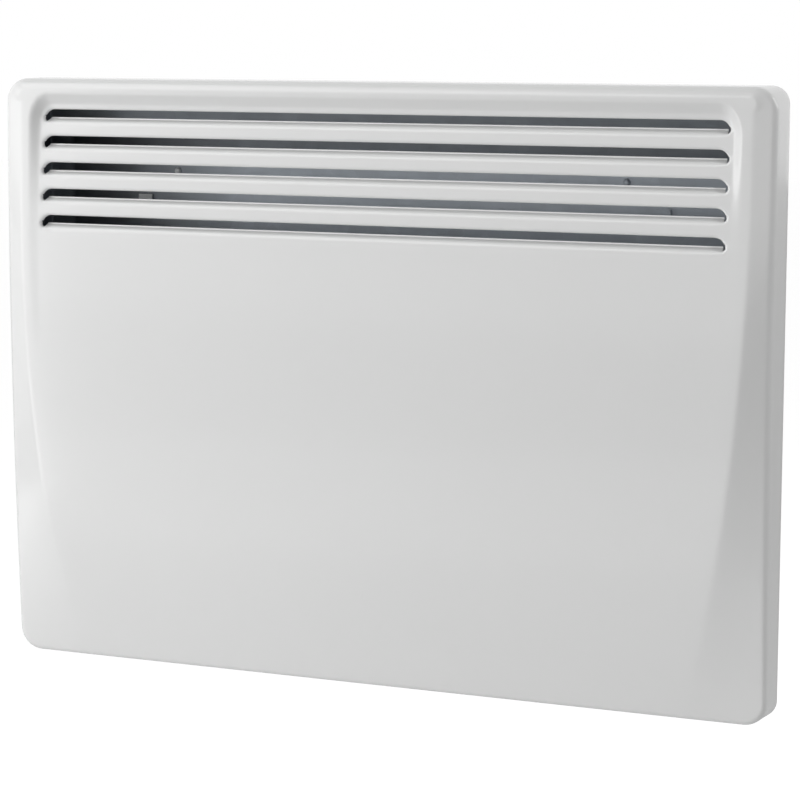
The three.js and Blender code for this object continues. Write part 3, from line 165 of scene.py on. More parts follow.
def smooth_step(low, high, value):
    share = np.clip((value - low) / (high - low), 0, 1)
    return share * share * (3 - 2 * share)


def rounded_ramp(value, rounding):
    """A straight climb from 0 to 1 with a parabola at each end."""
    share = np.clip(value, 0, 1)
    near = np.minimum(share, 1 - share)
    rise = np.where(near < rounding, near**2 / (2 * rounding), near - rounding / 2)
    rise = rise / (1 - rounding)
    return np.where(share < 0.5, rise, 1 - rise)


def arc_depth(peak, peak_height, radius, height):
    return peak - (height - peak_height) ** 2 / (2 * radius)


def rim_depth(height):
    return arc_depth(RIM_DEPTH, RIM_PEAK_HEIGHT, RIM_BOW_RADIUS, height)


def panel_depth(height):
    return arc_depth(PANEL_DEPTH, PANEL_PEAK_HEIGHT, PANEL_BOW_RADIUS, height)


def ridge_depth(height):
    """The louvred field's crest at the top, and the panel's own edge lower down."""
    fade = smooth_step(CREST_FADE_LOW, CREST_FADE_HIGH, height)
    panel = panel_depth(height)
    crest = rim_depth(height) + CREST_RISE
    high = (panel + crest + np.sqrt((panel - crest) ** 2 + CREST_BLEND**2)) / 2
    return panel + (high - panel) * fade


def ridge_inset(height):
    below = np.maximum(0, RIDGE_START_HEIGHT - height)
    return SIDE_FACET_WIDTH + below**2 / (2 * RIDGE_SWEEP_RADIUS)


MOST_SHARE = 40  # caps the share far inside the face, where only its being over 1 counts


def facet_share(x, height):
    """How far a point lies across the facet: 0 at the rim, 1 on the ridge, more inside."""
    from_side = HALF_WIDTH - np.abs(x)
    from_top = HEIGHT - height
    across_x = CORNER_RADIUS - from_side
    across_z = CORNER_RADIUS - from_top
    radial = np.hypot(across_x, across_z)
    sideways = (across_x / np.maximum(radial, 1e-6)) ** 2
    width = TOP_FACET_WIDTH + (SIDE_FACET_WIDTH - TOP_FACET_WIDTH) * sideways
    in_corner = (from_side < CORNER_RADIUS) & (from_top < CORNER_RADIUS)
    beside = from_side / ridge_inset(height)
    above = np.where(from_side >= CORNER_RADIUS, from_top / TOP_FACET_WIDTH, np.inf)
    above = np.where(from_top < CORNER_RADIUS, above, np.inf)
    beside = np.where(from_top < CORNER_RADIUS, np.inf, beside)
    return np.where(in_corner, (CORNER_RADIUS - radial) / width, np.minimum(above, beside))


def step_share(x, height):
    """How far down the step a point lies: 0 on the crest, 1 on the field inside it."""
    middle = ridge_inset(height) + CREST_WIDTH + STEP_WIDTH / 2
    top_middle = TOP_FACET_WIDTH + TOP_CREST_WIDTH + TOP_STEP_WIDTH / 2
    from_side = (HALF_WIDTH - middle - np.abs(x)) / STEP_WIDTH
    from_top = (HEIGHT - top_middle - height) / TOP_STEP_WIDTH
    radius = STEP_CORNER_RADIUS / STEP_WIDTH
    rounded = radius - np.hypot(radius - from_side, radius - from_top)
    in_corner = (from_side < radius) & (from_top < radius)
    inside = np.where(in_corner, rounded, np.minimum(from_side, from_top))
    return rounded_ramp(inside + 0.5, STEP_ROUNDING)


def face_depth(x, height):
    share = np.minimum(facet_share(x, height), MOST_SHARE)
    capped = (share + 1 - np.sqrt((share - 1) ** 2 + RIDGE_ROUNDING**2)) / 2
    rim = rim_depth(height)
    ridge = ridge_depth(height)
    on_facet = rim + (ridge - rim) * capped
    inside = share > 1
    return on_facet + np.where(inside, (panel_depth(height) - ridge) * step_share(x, height), 0)


# ---------------------------------------------------------------- louvres


def louvre_top(index):
    return LOUVRE_TOP - index * LOUVRE_PITCH


def slot_distance(x, height, top):
    """Distance outside a slot's outline, which has broad upper and tight lower corners."""
    low = top - LOUVRE_HEIGHT
    upper = height > (top + low) / 2
    radius = np.where(upper, LOUVRE_CORNER_RADIUS, LOUVRE_FOOT_RADIUS)
    beyond = np.where(upper, height - (top - radius), (low + radius) - height)
    across = np.abs(x) - (LOUVRE_HALF_LENGTH - radius)
    outside = np.hypot(np.maximum(across, 0), np.maximum(beyond, 0))
    return outside + np.minimum(np.maximum(across, beyond), 0) - radius


def lip_half(height, low):
    share = np.clip((height - low) / LIP_RISE, 0, 1)
    inset = LIP_ROOT_INSET + (LIP_TIP_INSET - LIP_ROOT_INSET) * share
    return LOUVRE_HALF_LENGTH - inset


def on_lip(x, height, low, slack=NEAR):
    above_bend = height > low - LIP_BEND_DROP
    below_tip = height < low + LIP_RISE + slack
    return above_bend & below_tip & (np.abs(x) < lip_half(height, low) + slack)


def lip_drop(x, rise):
    """How far the lip lies behind the face, by the height above the slot's bottom."""
    open_share = smooth_step(0, LIP_TAPER, LOUVRE_HALF_LENGTH - LIP_ROOT_INSET - np.abs(x))
    radius = ROLL_RADIUS + (LIP_ROLL - ROLL_RADIUS) * open_share
    turn = LIP_END_TURN + (LIP_TURN - LIP_END_TURN) * open_share
    bend_drop = ROLL_RADIUS + (LIP_BEND_DROP - ROLL_RADIUS) * open_share
    climb = rise + bend_drop
    bent = radius * np.sin(turn)
    arc = radius - np.sqrt(radius**2 - np.clip(climb, 0, bent) ** 2)
    hem_start = bend_drop + LIP_RISE - LIP_HEM
    shelf = np.clip(climb, bent, hem_start) - bent
    hem = np.maximum(climb - hem_start, 0)
    return arc + shelf * np.tan(turn) + hem * math.tan(HEM_TURN)


def louvre_drop(x, height):
    """How far the sheet lies behind the face: rolled in round each slot, bent into lips."""
    drop = np.zeros_like(x)
    for index in range(LOUVRE_COUNT):
        top = louvre_top(index)
        low = top - LOUVRE_HEIGHT
        distance = np.clip(slot_distance(x, height, top), 0, ROLL_RADIUS)
        roll = ROLL_RADIUS - np.sqrt(ROLL_RADIUS**2 - (ROLL_RADIUS - distance) ** 2)
        bend = lip_drop(x, height - low)
        drop = np.maximum(drop, np.where(on_lip(x, height, low), bend, roll))
    return drop


def cover_depth(x, height):
    return face_depth(x, height) - louvre_drop(x, height)


# ---------------------------------------------------------------- front cover's outlines

CORNER_STEPS = 14
SIDE_STEPS = 76
TOP_STEPS = 104
EDGE_STEPS = 8
FLANGE_STEPS = 3
SLOT_CORNER_STEPS = 10
SLOT_FOOT_STEPS = 6
WALL_SHARES = (0.75, 0.5, 0.25)  # loops on the outer wall, between its front and its back
ROLL_ANGLES = (72, 54, 36, 18, 0)
LIP_SHARES = (0, 0.18, 0.36, 0.54, 1 - LIP_HEM / LIP_RISE)
BEND_ROWS = (2.5, LIP_BEND_DROP)  # further rows on the lip's bend, below the slot


def spaced(low, high, spacing):
    return np.linspace(low, high, max(2, round((high - low) / spacing) + 1))


ROW_BANDS = (  # lowest row, highest row and spacing
    (EDGE_RADIUS, 280, 4),
    (283, 374, 3),
    (376, HEIGHT - EDGE_RADIUS, 1.1),
)
EDGE_CLEARANCE = 0.6  # of the grid from the rounded edge
ROLL_CLEARANCE = 0.5  # of the grid from the slots' rolls and the lips' bends
TIP_CLEARANCE = 0.8  # of the lips' rows from their slanted ends
FINE_FROM = 200  # half the width of the field that needs only wide columns
FINE_SPACING = 1.2
WIDE_SPACING = 5
SIDE_COLUMNS = spaced(FINE_FROM + FINE_SPACING, HALF_WIDTH - EDGE_RADIUS, FINE_SPACING)
WIDE_COLUMNS = spaced(-FINE_FROM, FINE_FROM, WIDE_SPACING)
# All rows share these columns, so that their triangles line up.
COLUMNS = np.concatenate([-SIDE_COLUMNS[::-1], WIDE_COLUMNS, SIDE_COLUMNS])


def row_between(half):
    """The shared columns between two ends, with the ends."""
    inner = COLUMNS[np.abs(COLUMNS) < half - FINE_SPACING / 3]
    return np.concatenate([[-half], inner, [half]])


def rim_loop(inset, corner=CORNER_RADIUS):
    """A loop that keeps one distance from the outline, anticlockwise seen from the front."""
    half = HALF_WIDTH - corner
    tall = (corner, HEIGHT - corner)
    radius = corner - inset
    points = []
    corners = (
        (half, tall[0], -90),
        (half, tall[1], 0),
        (-half, tall[1], 90),
        (-half, tall[0], 180),
    )
    for centre_x, centre_z, start in corners:
        for step in range(CORNER_STEPS + 1):
            angle = math.radians(start + 90 * step / CORNER_STEPS)
            away = (math.cos(angle), math.sin(angle))
            points.append((centre_x + radius * away[0], centre_z + radius * away[1]))
        if start in (-90, 90):
            run = np.linspace(*tall, SIDE_STEPS + 1)[1:-1]
            side = math.copysign(half + radius, centre_x)
            points += [(side, z) for z in (run if start == -90 else run[::-1])]
        else:
            run = np.linspace(-half, half, TOP_STEPS + 1)[1:-1]
            level = centre_z + (radius if start == 0 else -radius)
            points += [(x, level) for x in (run[::-1] if start == 0 else run)]
    return np.array(points)


def slot_outline(top):
    """Points on a slot's outline with their outward directions, clockwise from top left."""
    low = top - LOUVRE_HEIGHT
    straight = row_between(LOUVRE_HALF_LENGTH - LOUVRE_CORNER_RADIUS)
    rows = [(x, top, 0, 1) for x in straight]
    corners = (
        (1, top - LOUVRE_CORNER_RADIUS, LOUVRE_CORNER_RADIUS, 90, 0),
        (1, low + LOUVRE_FOOT_RADIUS, LOUVRE_FOOT_RADIUS, 0, -90),
        (-1, low + LOUVRE_FOOT_RADIUS, LOUVRE_FOOT_RADIUS, 270, 180),
        (-1, top - LOUVRE_CORNER_RADIUS, LOUVRE_CORNER_RADIUS, 180, 90),
    )
    for side, centre_z, radius, start, end in corners:
        steps = SLOT_CORNER_STEPS if radius == LOUVRE_CORNER_RADIUS else SLOT_FOOT_STEPS
        centre_x = side * (LOUVRE_HALF_LENGTH - radius)
        for step in range(steps + 1):
            angle = math.radians(start + (end - start) * step / steps)
            away = (math.cos(angle), math.sin(angle))
            rows.append((centre_x + radius * away[0], centre_z + radius * away[1], *away))
        if end == -90:
            foot = lip_half(low, low)
            rows += [(x, low, 0, -1) for x in row_between(foot)[::-1]]
    return np.array(rows)


def opening_outline(top):
    """The loop of the hole itself: the slot's outline, with the lip's edge as its bottom."""
    low = top - LOUVRE_HEIGHT
    tip = low + LIP_RISE
    rows = slot_outline(top)
    foot = lip_half(low, low)
    on_foot = (rows[:, 1] < low + NEAR) & (np.abs(rows[:, 0]) < foot + NEAR)
    first = int(np.argmax(on_foot))
    last = len(rows) - int(np.argmax(on_foot[::-1]))
    half = lip_half(tip, low)
    slope = [(foot + (half - foot) * share, low + LIP_RISE * share) for share in LIP_SHARES]
    edge = [(x, tip) for x in row_between(half)[::-1]]
    mirrored = [(-x, z) for x, z in slope[::-1]]
    loop = [tuple(p) for p in rows[:first, :2]] + slope + edge + mirrored
    loop += [tuple(p) for p in rows[last:, :2]]
    kept = [p for i, p in enumerate(loop) if math.dist(p, loop[i - 1]) > NEAR]
    return np.array(kept)


def inner_points():
    """Points inside the face: rows on rolls and lips, and a grid that is fine at creases."""
    groups = []
    for index in range(LOUVRE_COUNT):
        top = louvre_top(index)
        low = top - LOUVRE_HEIGHT
        rows = slot_outline(top)
        for angle in ROLL_ANGLES:
            out = ROLL_RADIUS * (1 - math.sin(math.radians(angle)))
            groups.append(rows[:, :2] + rows[:, 2:] * out)
        for share in LIP_SHARES:
            height = low + LIP_RISE * share
            run = row_between(lip_half(height, low) - TIP_CLEARANCE)
            groups.append(np.column_stack([run, np.full_like(run, height)]))
        for drop in BEND_ROWS:
            run = row_between(lip_half(low, low))
            groups.append(np.column_stack([run, np.full_like(run, low - drop)]))
    heights = np.concatenate([spaced(*band) for band in ROW_BANDS])
    grid_x, grid_z = np.meshgrid(COLUMNS, heights)
    grid = np.column_stack([grid_x.ravel(), grid_z.ravel()])
    across = np.maximum(np.abs(grid[:, 0]) - (HALF_WIDTH - CORNER_RADIUS), 0)
    along = np.abs(grid[:, 1] - HEIGHT / 2) - (HEIGHT / 2 - CORNER_RADIUS)
    outward = np.hypot(across, np.maximum(along, 0))
    beyond_side = np.abs(grid[:, 0]) - HALF_WIDTH
    beyond_end = np.abs(grid[:, 1] - HEIGHT / 2) - HEIGHT / 2
    keep = outward < CORNER_RADIUS - EDGE_RADIUS - EDGE_CLEARANCE
    keep &= np.maximum(beyond_side, beyond_end) < -EDGE_RADIUS - EDGE_CLEARANCE
    for index in range(LOUVRE_COUNT):
        top = louvre_top(index)
        keep &= slot_distance(grid[:, 0], grid[:, 1], top) > ROLL_RADIUS + ROLL_CLEARANCE
        low = top - LOUVRE_HEIGHT
        beside = np.abs(grid[:, 0]) > lip_half(low, low)
        keep &= beside | (np.abs(grid[:, 1] - low) > LIP_BEND_DROP + ROLL_CLEARANCE)
    groups.append(grid[keep])
    return np.concatenate(groups)


# ---------------------------------------------------------------- meshes


def mesh_object(name, vertices, faces):
    mesh = bpy.data.meshes.new(name)
    mesh.from_pydata([tuple(v) for v in vertices], [], [tuple(f) for f in faces])
    mesh.validate()
    mesh.update()
    piece = bpy.data.objects.new(name, mesh)
    bpy.context.scene.collection.objects.link(piece)
    return piece


def in_frame(x, depth, height):
    """Points given by X, depth in front of the cover's back and height, as frame metres."""
    return np.column_stack([x, COVER_BACK - depth, height + BOTTOM]) * MM


def face_mesh():
    """The pressed face with its openings, as vertices in the plane and triangles."""
    boundary = rim_loop(EDGE_RADIUS)
    loops = [boundary] + [opening_outline(louvre_top(i)) for i in range(LOUVRE_COUNT)]
    points = np.concatenate(loops + [inner_points()])
    edges = []
    start = 0
    for loop in loops:
        count = len(loop)
        edges += [(start + i, start + (i + 1) % count) for i in range(count)]
        start += count
    result = delaunay_2d_cdt([Vector(p) for p in points], edges, [], 0, 1e-5)
    flat = np.array([tuple(v) for v in result[0]])
    triangles = np.array(result[2])
    middle = flat[triangles].mean(1)
    keep = np.ones(len(triangles), bool)
    for index in range(LOUVRE_COUNT):
        top = louvre_top(index)
        low = top - LOUVRE_HEIGHT
        inside = slot_distance(middle[:, 0], middle[:, 1], top) < 0
        keep &= ~(inside & ~on_lip(middle[:, 0], middle[:, 1], low, 0))
    origin = {old: new for new, olds in enumerate(result[3]) for old in olds}
    rim = [origin[i] for i in range(len(boundary))]
    return flat, triangles[keep], rim


def cover_surface():
    """The cover's outer surface: the face, its rounded edge, the walls and back flange."""
    flat, triangles, rim = face_mesh()
    vertices = [in_frame(flat[:, 0], cover_depth(flat[:, 0], flat[:, 1]), flat[:, 1])]
    faces = [tuple(t) for t in triangles]
    rings = []
    for turn in range(EDGE_STEPS - 1, -1, -1):
        angle = math.pi / 2 * turn / EDGE_STEPS
        loop = rim_loop(EDGE_RADIUS * (1 - math.cos(angle)))
        back = EDGE_RADIUS * (1 - math.sin(angle))
        rings.append((loop, face_depth(loop[:, 0], loop[:, 1]) - back))
    outline = rim_loop(0)
    outline_back = rim_loop(0, BACK_CORNER_RADIUS)
    edge_back = face_depth(outline[:, 0], outline[:, 1]) - EDGE_RADIUS
    for share in WALL_SHARES:
        wall = outline * share + outline_back * (1 - share)
        rings.append((wall, edge_back * share + FLANGE_BEND * (1 - share)))
    for turn in range(FLANGE_STEPS + 1):
        angle = math.pi / 2 * turn / FLANGE_STEPS
        inset = FLANGE_BEND * (1 - math.cos(angle))
        depth = FLANGE_BEND * (1 - math.sin(angle))
        rings.append((rim_loop(inset, BACK_CORNER_RADIUS), np.full(len(outline), depth)))
    rings.append((rim_loop(FLANGE_WIDTH, BACK_CORNER_RADIUS), np.zeros(len(outline))))
    previous = rim
    count = len(rim)
    total = len(flat)
    for loop, depth in rings:
        vertices.append(in_frame(loop[:, 0], depth, loop[:, 1]))
        current = list(range(total, total + count))
        for i in range(count):
            j = (i + 1) % count
            faces.append((previous[i], current[i], current[j], previous[j]))
        previous = current
        total += count
    return np.concatenate(vertices), faces


def thickened(name, vertices, faces, thickness):
    """A closed sheet from an open outer surface, with its cut edges left sharp."""
    surface = mesh_object(name + "_outer", vertices, faces)
    work = bmesh.new()
    work.from_mesh(surface.data)
    loose = [v for v in work.verts if not v.link_faces]
    bmesh.ops.delete(work, geom=loose, context="VERTS")
    bmesh.ops.recalc_face_normals(work, faces=work.faces)
    front = min(work.faces, key=lambda f: f.calc_center_median().y)
    if front.normal.y > 0:
        bmesh.ops.reverse_faces(work, faces=work.faces)
    work.normal_update()
    work.verts.ensure_lookup_table()
    outer = np.array([v.co for v in work.verts])
    normals = np.array([v.normal for v in work.verts])
    skin = [[v.index for v in f.verts] for f in work.faces]
    open_edges = [
        (e.link_loops[0].vert.index, e.link_loops[0].link_loop_next.vert.index)
        for e in work.edges if len(e.link_faces) == 1]
    work.free()
    bpy.data.objects.remove(surface)
    shift = len(outer)
    inner = outer - normals * thickness
    all_faces = skin + [[shift + i for i in reversed(f)] for f in skin]
    all_faces += [[b, a, shift + a, shift + b] for a, b in open_edges]
    return mesh_object(name, np.concatenate([outer, inner]), all_faces)


def cut_away(piece, cutter):
    """Cuts one closed mesh out of another, and drops the cutter."""
    modifier = piece.modifiers.new("cut", "BOOLEAN")
    modifier.object = cutter
    modifier.operation = "DIFFERENCE"
    modifier.solver = "MANIFOLD"
    bpy.context.view_layer.update()
    graph = bpy.context.evaluated_depsgraph_get()
    result = bpy.data.meshes.new_from_object(piece.evaluated_get(graph))
    piece.modifiers.clear()
    piece.data = result
    bpy.data.objects.remove(cutter)


def prism(outline, low, high):
    """Closed upright prism over an outline in X and Y, mm, as vertices and faces."""
    count = len(outline)
    vertices = [(x, y, z) for z in (low, high) for x, y in outline]
    faces = [tuple(reversed(range(count))), tuple(range(count, 2 * count))]
    faces += [(i, (i + 1) % count, count + (i + 1) % count, count + i) for i in range(count)]
    return vertices, faces


def obround(centre_x, centre_y, length, width, steps=10):
    radius = width / 2
    half = length / 2 - radius
    points = []
    for side, start in ((1, -90), (-1, 90)):
        for step in range(steps + 1):
            angle = math.radians(start + 180 * step / steps)
            points.append((centre_x + side * half + radius * math.cos(angle),
                           centre_y + radius * math.sin(angle)))
    return points


def one_mesh(name, solids):
    """One object of several closed solids, each given as vertices in mm and faces."""
    vertices, faces = [], []
    for points, sides in solids:
        shift = len(vertices)
        vertices += [tuple(c * MM for c in p) for p in points]
        faces += [tuple(shift + i for i in side) for side in sides]
    return mesh_object(name, vertices, faces)


def level_bore(centre, low, high, steps=20):
    """Closed cylinder along Y about a point in X and Z, mm."""
    rim = []
    for step in range(steps):
        angle = 2 * math.pi * step / steps
        rim.append((centre[0] + SCREW_HOLE_RADIUS * math.cos(angle),
                    centre[1] - SCREW_HOLE_RADIUS * math.sin(angle)))
    vertices = [(x, y, z) for y in (low, high) for x, z in rim]
    return vertices, prism(rim, low, high)[1]


def opening_cutter():
    """The inlets, the notch for the control bezel and the back flange's screw holes."""
    solids = []
    for y in INLET_ROWS:
        for slot in range(INLET_COUNT):
            x = INLET_FIRST + INLET_LENGTH / 2 + slot * INLET_PITCH
            inlet = obround(x, y, INLET_LENGTH, INLET_WIDTH)
            solids.append(prism(inlet, BOTTOM - CUT_MARGIN, BOTTOM + 2 * CUT_MARGIN))
    notch_back = COVER_BACK + CUT_MARGIN
    corners = [(NOTCH_LOW_X, NOTCH_FRONT), (NOTCH_HIGH_X, NOTCH_FRONT),
               (NOTCH_HIGH_X, notch_back), (NOTCH_LOW_X, notch_back)]
    solids.append(prism(corners, BOTTOM - 2 * CUT_MARGIN, BOTTOM + NOTCH_RISE))
    for number in range(1, SCREW_COUNT + 1):
        low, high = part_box(f"cover_screw_{number}")
        centre = ((low.x + high.x) / 2 / MM, (low.z + high.z) / 2 / MM)
        solids.append(level_bore(centre, COVER_BACK - 3 * CUT_MARGIN, COVER_BACK + CUT_MARGIN))
    return one_mesh("opening_cutter", solids)


COVER_SHARP_ANGLE = math.radians(40)


def make_cover():
    """The pressed sheet with all its openings, shaded smooth except at cut edges."""
    vertices, faces = cover_surface()
    cover = thickened("front_cover_shell", vertices, faces, SHEET * MM)
    cut_away(cover, opening_cutter())
    cover.data.polygons.foreach_set("use_smooth", [True] * len(cover.data.polygons))
    cover.data.set_sharp_from_angle(angle=COVER_SHARP_ANGLE)
    return cover


# ---------------------------------------------------------------- materials

MIX_A, MIX_B, MIX_RESULT = 6, 7, 2  # the Mix node's colour sockets


class Finish:
    """A node material: a shader with helpers for the textures that feed it."""

    def __init__(self, name, metallic=0.0):
        self.material = bpy.data.materials.new(name)
        self.material.use_nodes = True
        self.tree = self.material.node_tree
        self.shader = self.tree.nodes["Principled BSDF"]
        self.shader.inputs["Metallic"].default_value = metallic
        self.coordinates = self.tree.nodes.new("ShaderNodeTexCoord").outputs["Object"]

    def link(self, start, end):
        self.tree.links.new(start, end)

    def placed(self, stretch):
        mapping = self.tree.nodes.new("ShaderNodeMapping")
        mapping.inputs["Scale"].default_value = stretch
        self.link(self.coordinates, mapping.inputs["Vector"])
        return mapping.outputs["Vector"]

    def noise(self, scale, detail=3.0, stretch=(1, 1, 1)):
        texture = self.tree.nodes.new("ShaderNodeTexNoise")
        texture.inputs["Scale"].default_value = scale
        texture.inputs["Detail"].default_value = detail
        self.link(self.placed(stretch), texture.inputs["Vector"])
        return texture.outputs["Fac"]

    def cells(self, scale):
        texture = self.tree.nodes.new("ShaderNodeTexVoronoi")
        texture.inputs["Scale"].default_value = scale
        texture.inputs["Randomness"].default_value = 1.0
        self.link(self.placed((1, 1, 1)), texture.inputs["Vector"])
        parts = self.tree.nodes.new("ShaderNodeSeparateColor")
        self.link(texture.outputs["Color"], parts.inputs["Color"])
        return parts.outputs["Red"]

    def ramp(self, value, low, high, start=0.3, end=0.7):
        """Maps a texture's value to between two numbers or colours."""
        if isinstance(low, (int, float)):
            node = self.tree.nodes.new("ShaderNodeMapRange")
            node.inputs["From Min"].default_value = start
            node.inputs["From Max"].default_value = end
            node.inputs["To Min"].default_value = low
            node.inputs["To Max"].default_value = high
            self.link(value, node.inputs["Value"])
            return node.outputs["Result"]
        node = self.tree.nodes.new("ShaderNodeValToRGB")
        node.color_ramp.elements[0].position = start
        node.color_ramp.elements[0].color = (*low, 1)
        node.color_ramp.elements[1].position = end
        node.color_ramp.elements[1].color = (*high, 1)
        self.link(value, node.inputs["Fac"])
        return node.outputs["Color"]

    def colour(self, value, low, high, start=0.3, end=0.7):
        self.link(self.ramp(value, low, high, start, end), self.shader.inputs["Base Color"])

    def roughness(self, value, low, high, start=0.3, end=0.7):
        self.link(self.ramp(value, low, high, start, end), self.shader.inputs["Roughness"])

    def combined(self, operation, *values):
        """One value from several, taken two at a time."""
        result = values[0]
        for value in values[1:]:
            node = self.tree.nodes.new("ShaderNodeMath")
            node.operation = operation
            self.link(result, node.inputs[0])
            self.link(value, node.inputs[1])
            result = node.outputs["Value"]
        return result

    def bump(self, value, distance, strength=1.0):
        node = self.tree.nodes.new("ShaderNodeBump")
        node.inputs["Distance"].default_value = distance
        node.inputs["Strength"].default_value = strength
        self.link(value, node.inputs["Height"])
        self.link(node.outputs["Normal"], self.shader.inputs["Normal"])


def scaled(colour, factor):
    return tuple(channel * factor for channel in colour)


def painted_steel():
    """Semi-gloss white powder coat with a faint orange peel."""
    finish = Finish("cover_paint")
    white = (0.80, 0.803, 0.80)
    finish.colour(finish.noise(4, 2), scaled(white, 0.985), white)
    finish.roughness(finish.noise(60, 2), 0.30, 0.36)
    finish.bump(finish.noise(420, 1), 0.00003, 0.35)
    finish.shader.inputs["Coat Weight"].default_value = 0.6
    finish.shader.inputs["Coat Roughness"].default_value = 0.1
    return finish.material


def galvanised_steel():
    """Zinc-coated sheet with its spangle."""
    finish = Finish("galvanised_sheet", 0.9)
    zinc = (0.42, 0.455, 0.49)
    cells = finish.cells(120)
    finish.colour(cells, scaled(zinc, 0.96), scaled(zinc, 1.05), 0, 1)
    finish.roughness(cells, 0.42, 0.47, 0, 1)
    finish.bump(finish.noise(700, 2), 0.00002, 0.3)
    return finish.material


# Zones of painted light and shade on the casing: the axis, the metres over which a factor
# changes along it, and the factor before and after. The first five bound the painted highlight
# on the left stud and clip.
PAINTED_LIGHT_ZONES = {
    "raised": ("Y", CASING_FLOOR - 0.0004, CASING_FLOOR - 0.0002, 1, 0),
    "past_start": ("X", -0.205, -0.200, 0, 1),
    "before_middle": ("X", -0.005, 0, 1, 0),
    "past_foot": ("Z", 0.100, 0.105, 0, 1),
    "before_head": ("Z", 0.150, 0.152, 1, 0),
    # The rows below paint shade on the left end and high up, lift it on the left side wall and
    # lessen it at the top; the last keeps the back's outer face at no less than three quarters
    # of the zinc's tone.
    "crown": ("Z", 0.160, 0.170, 0, 1),
    "painted_light_crown": ("Z", 0.160, 0.170, 1, 1.4),
    "painted_shade_end": ("X", -0.200, -0.110, 0.27, 1),
    "side_wall": ("X", -0.246, -0.238, 0.6, 0),
    "painted_shade_band": ("Z", 0.140, 0.153, 1, 0.42),
    "outside": ("Y", CASING_FLOOR + 0.0003, CASING_FLOOR + 0.0007, 0, 0.75),
}
# The zones whose product masks the painted highlight on the left stud and clip.
PAINTED_HIGHLIGHT_ZONES = ("raised", "past_start", "before_middle", "past_foot", "before_head")


def casing_steel():
    """The casing's zinc, with painted shade at its left end and high up, and a painted
    highlight on the left stud and clip.
    """
    finish = Finish("galvanised_casing_painted_light", 0.85)
    parts = finish.tree.nodes.new("ShaderNodeSeparateXYZ")
    finish.link(finish.coordinates, parts.inputs["Vector"])
    zone = {
        name: finish.ramp(parts.outputs[axis], before, after, start, end)
        for name, (axis, start, end, before, after) in PAINTED_LIGHT_ZONES.items()}
    # Painted highlight: the left stud and clip are made light and less metallic, as if lit.
    painted_highlight = finish.combined("MULTIPLY", *(zone[name] for name in PAINTED_HIGHLIGHT_ZONES))
    # Painted shade at the left end and high up, lessened on the left side wall and at the top.
    level = finish.combined("MAXIMUM", zone["painted_shade_end"], zone["side_wall"], zone["crown"])
    inside = finish.combined("MULTIPLY", level, zone["painted_shade_band"], zone["painted_light_crown"])
    lightness = finish.combined("MAXIMUM", inside, zone["outside"])
    zinc = (0.56, 0.60, 0.65)
    # The light grey of the painted highlight.
    painted_highlight_grey = (0.8, 0.81, 0.82)
    spangle = finish.ramp(finish.cells(120), scaled(zinc, 0.97), scaled(zinc, 1.04), 0, 1)
    shade = finish.tree.nodes.new("ShaderNodeVectorMath")
    shade.operation = "SCALE"
    finish.link(spangle, shade.inputs[0])
    finish.link(lightness, shade.inputs["Scale"])
    mix = finish.tree.nodes.new("ShaderNodeMix")
    mix.data_type = "RGBA"
    # The painted highlight swaps the zinc for the light grey and takes most of the metal away.
    finish.link(painted_highlight, mix.inputs["Factor"])
    finish.link(shade.outputs["Vector"], mix.inputs[MIX_A])
    mix.inputs[MIX_B].default_value = (*painted_highlight_grey, 1)
    finish.link(mix.outputs[MIX_RESULT], finish.shader.inputs["Base Color"])
    finish.link(finish.ramp(painted_highlight, 0.85, 0.2, 0, 1), finish.shader.inputs["Metallic"])
    finish.roughness(finish.noise(90, 2), 0.50, 0.56)
    finish.bump(finish.noise(700, 2), 0.00002, 0.3)
    return finish.material


def drawn_metal(name, colour, roughness, stretch, metallic=1.0):
    """Metal with fine streaks along the direction in which it was drawn or rolled."""
    finish = Finish(name, metallic)
    streaks = finish.noise(900, 3, stretch)
    finish.colour(streaks, scaled(colour, 0.9), colour)
    finish.roughness(streaks, roughness - 0.06, roughness + 0.08)
    finish.bump(streaks, 0.00002, 0.3)
    return finish.material


def heated_sheath():
    """Steel tube, tinted brown and blue-grey in patches by its own heat."""
    finish = Finish("sheath_steel", 0.85)
    patches = finish.noise(60, 4, (0.4, 1, 1))
    finish.colour(patches, (0.20, 0.17, 0.14), (0.30, 0.30, 0.31))
    finish.roughness(finish.noise(500), 0.38, 0.52)
    finish.bump(finish.noise(900), 0.00002, 0.3)
    return finish.material


def moulded(name, colour, roughness, grain=1600, coat=0.0):
    """Moulded plastic or rubber with an eroded grain."""
    finish = Finish(name)
    finish.colour(finish.noise(25, 3), scaled(colour, 0.93), colour)
    finish.roughness(finish.noise(300), roughness - 0.04, roughness + 0.06)
    finish.bump(finish.noise(grain, 2), 0.00003, 0.4)
    finish.shader.inputs["Coat Weight"].default_value = coat
    return finish.material


def amber_lens():
    finish = Finish("amber_lens")
    finish.colour(finish.noise(200, 2), (0.62, 0.20, 0.04), (0.72, 0.27, 0.06))
    finish.roughness(finish.noise(600), 0.08, 0.16)
    finish.shader.inputs["Transmission Weight"].default_value = 0.35
    finish.shader.inputs["Subsurface Weight"].default_value = 0.1
    return finish.material


def striped_insulation():
    """Green and yellow insulation, split along the wire by the side that it faces."""
    finish = Finish("wire_earth")
    geometry = finish.tree.nodes.new("ShaderNodeNewGeometry")
    parts = finish.tree.nodes.new("ShaderNodeSeparateXYZ")
    finish.link(geometry.outputs["Normal"], parts.inputs["Vector"])
    finish.colour(parts.outputs["Z"], (0.06, 0.27, 0.07), (0.72, 0.60, 0.04), 0.12, 0.16)
    finish.roughness(finish.noise(300), 0.45, 0.6)
    finish.bump(finish.noise(1200), 0.00002, 0.3)
    return finish.material


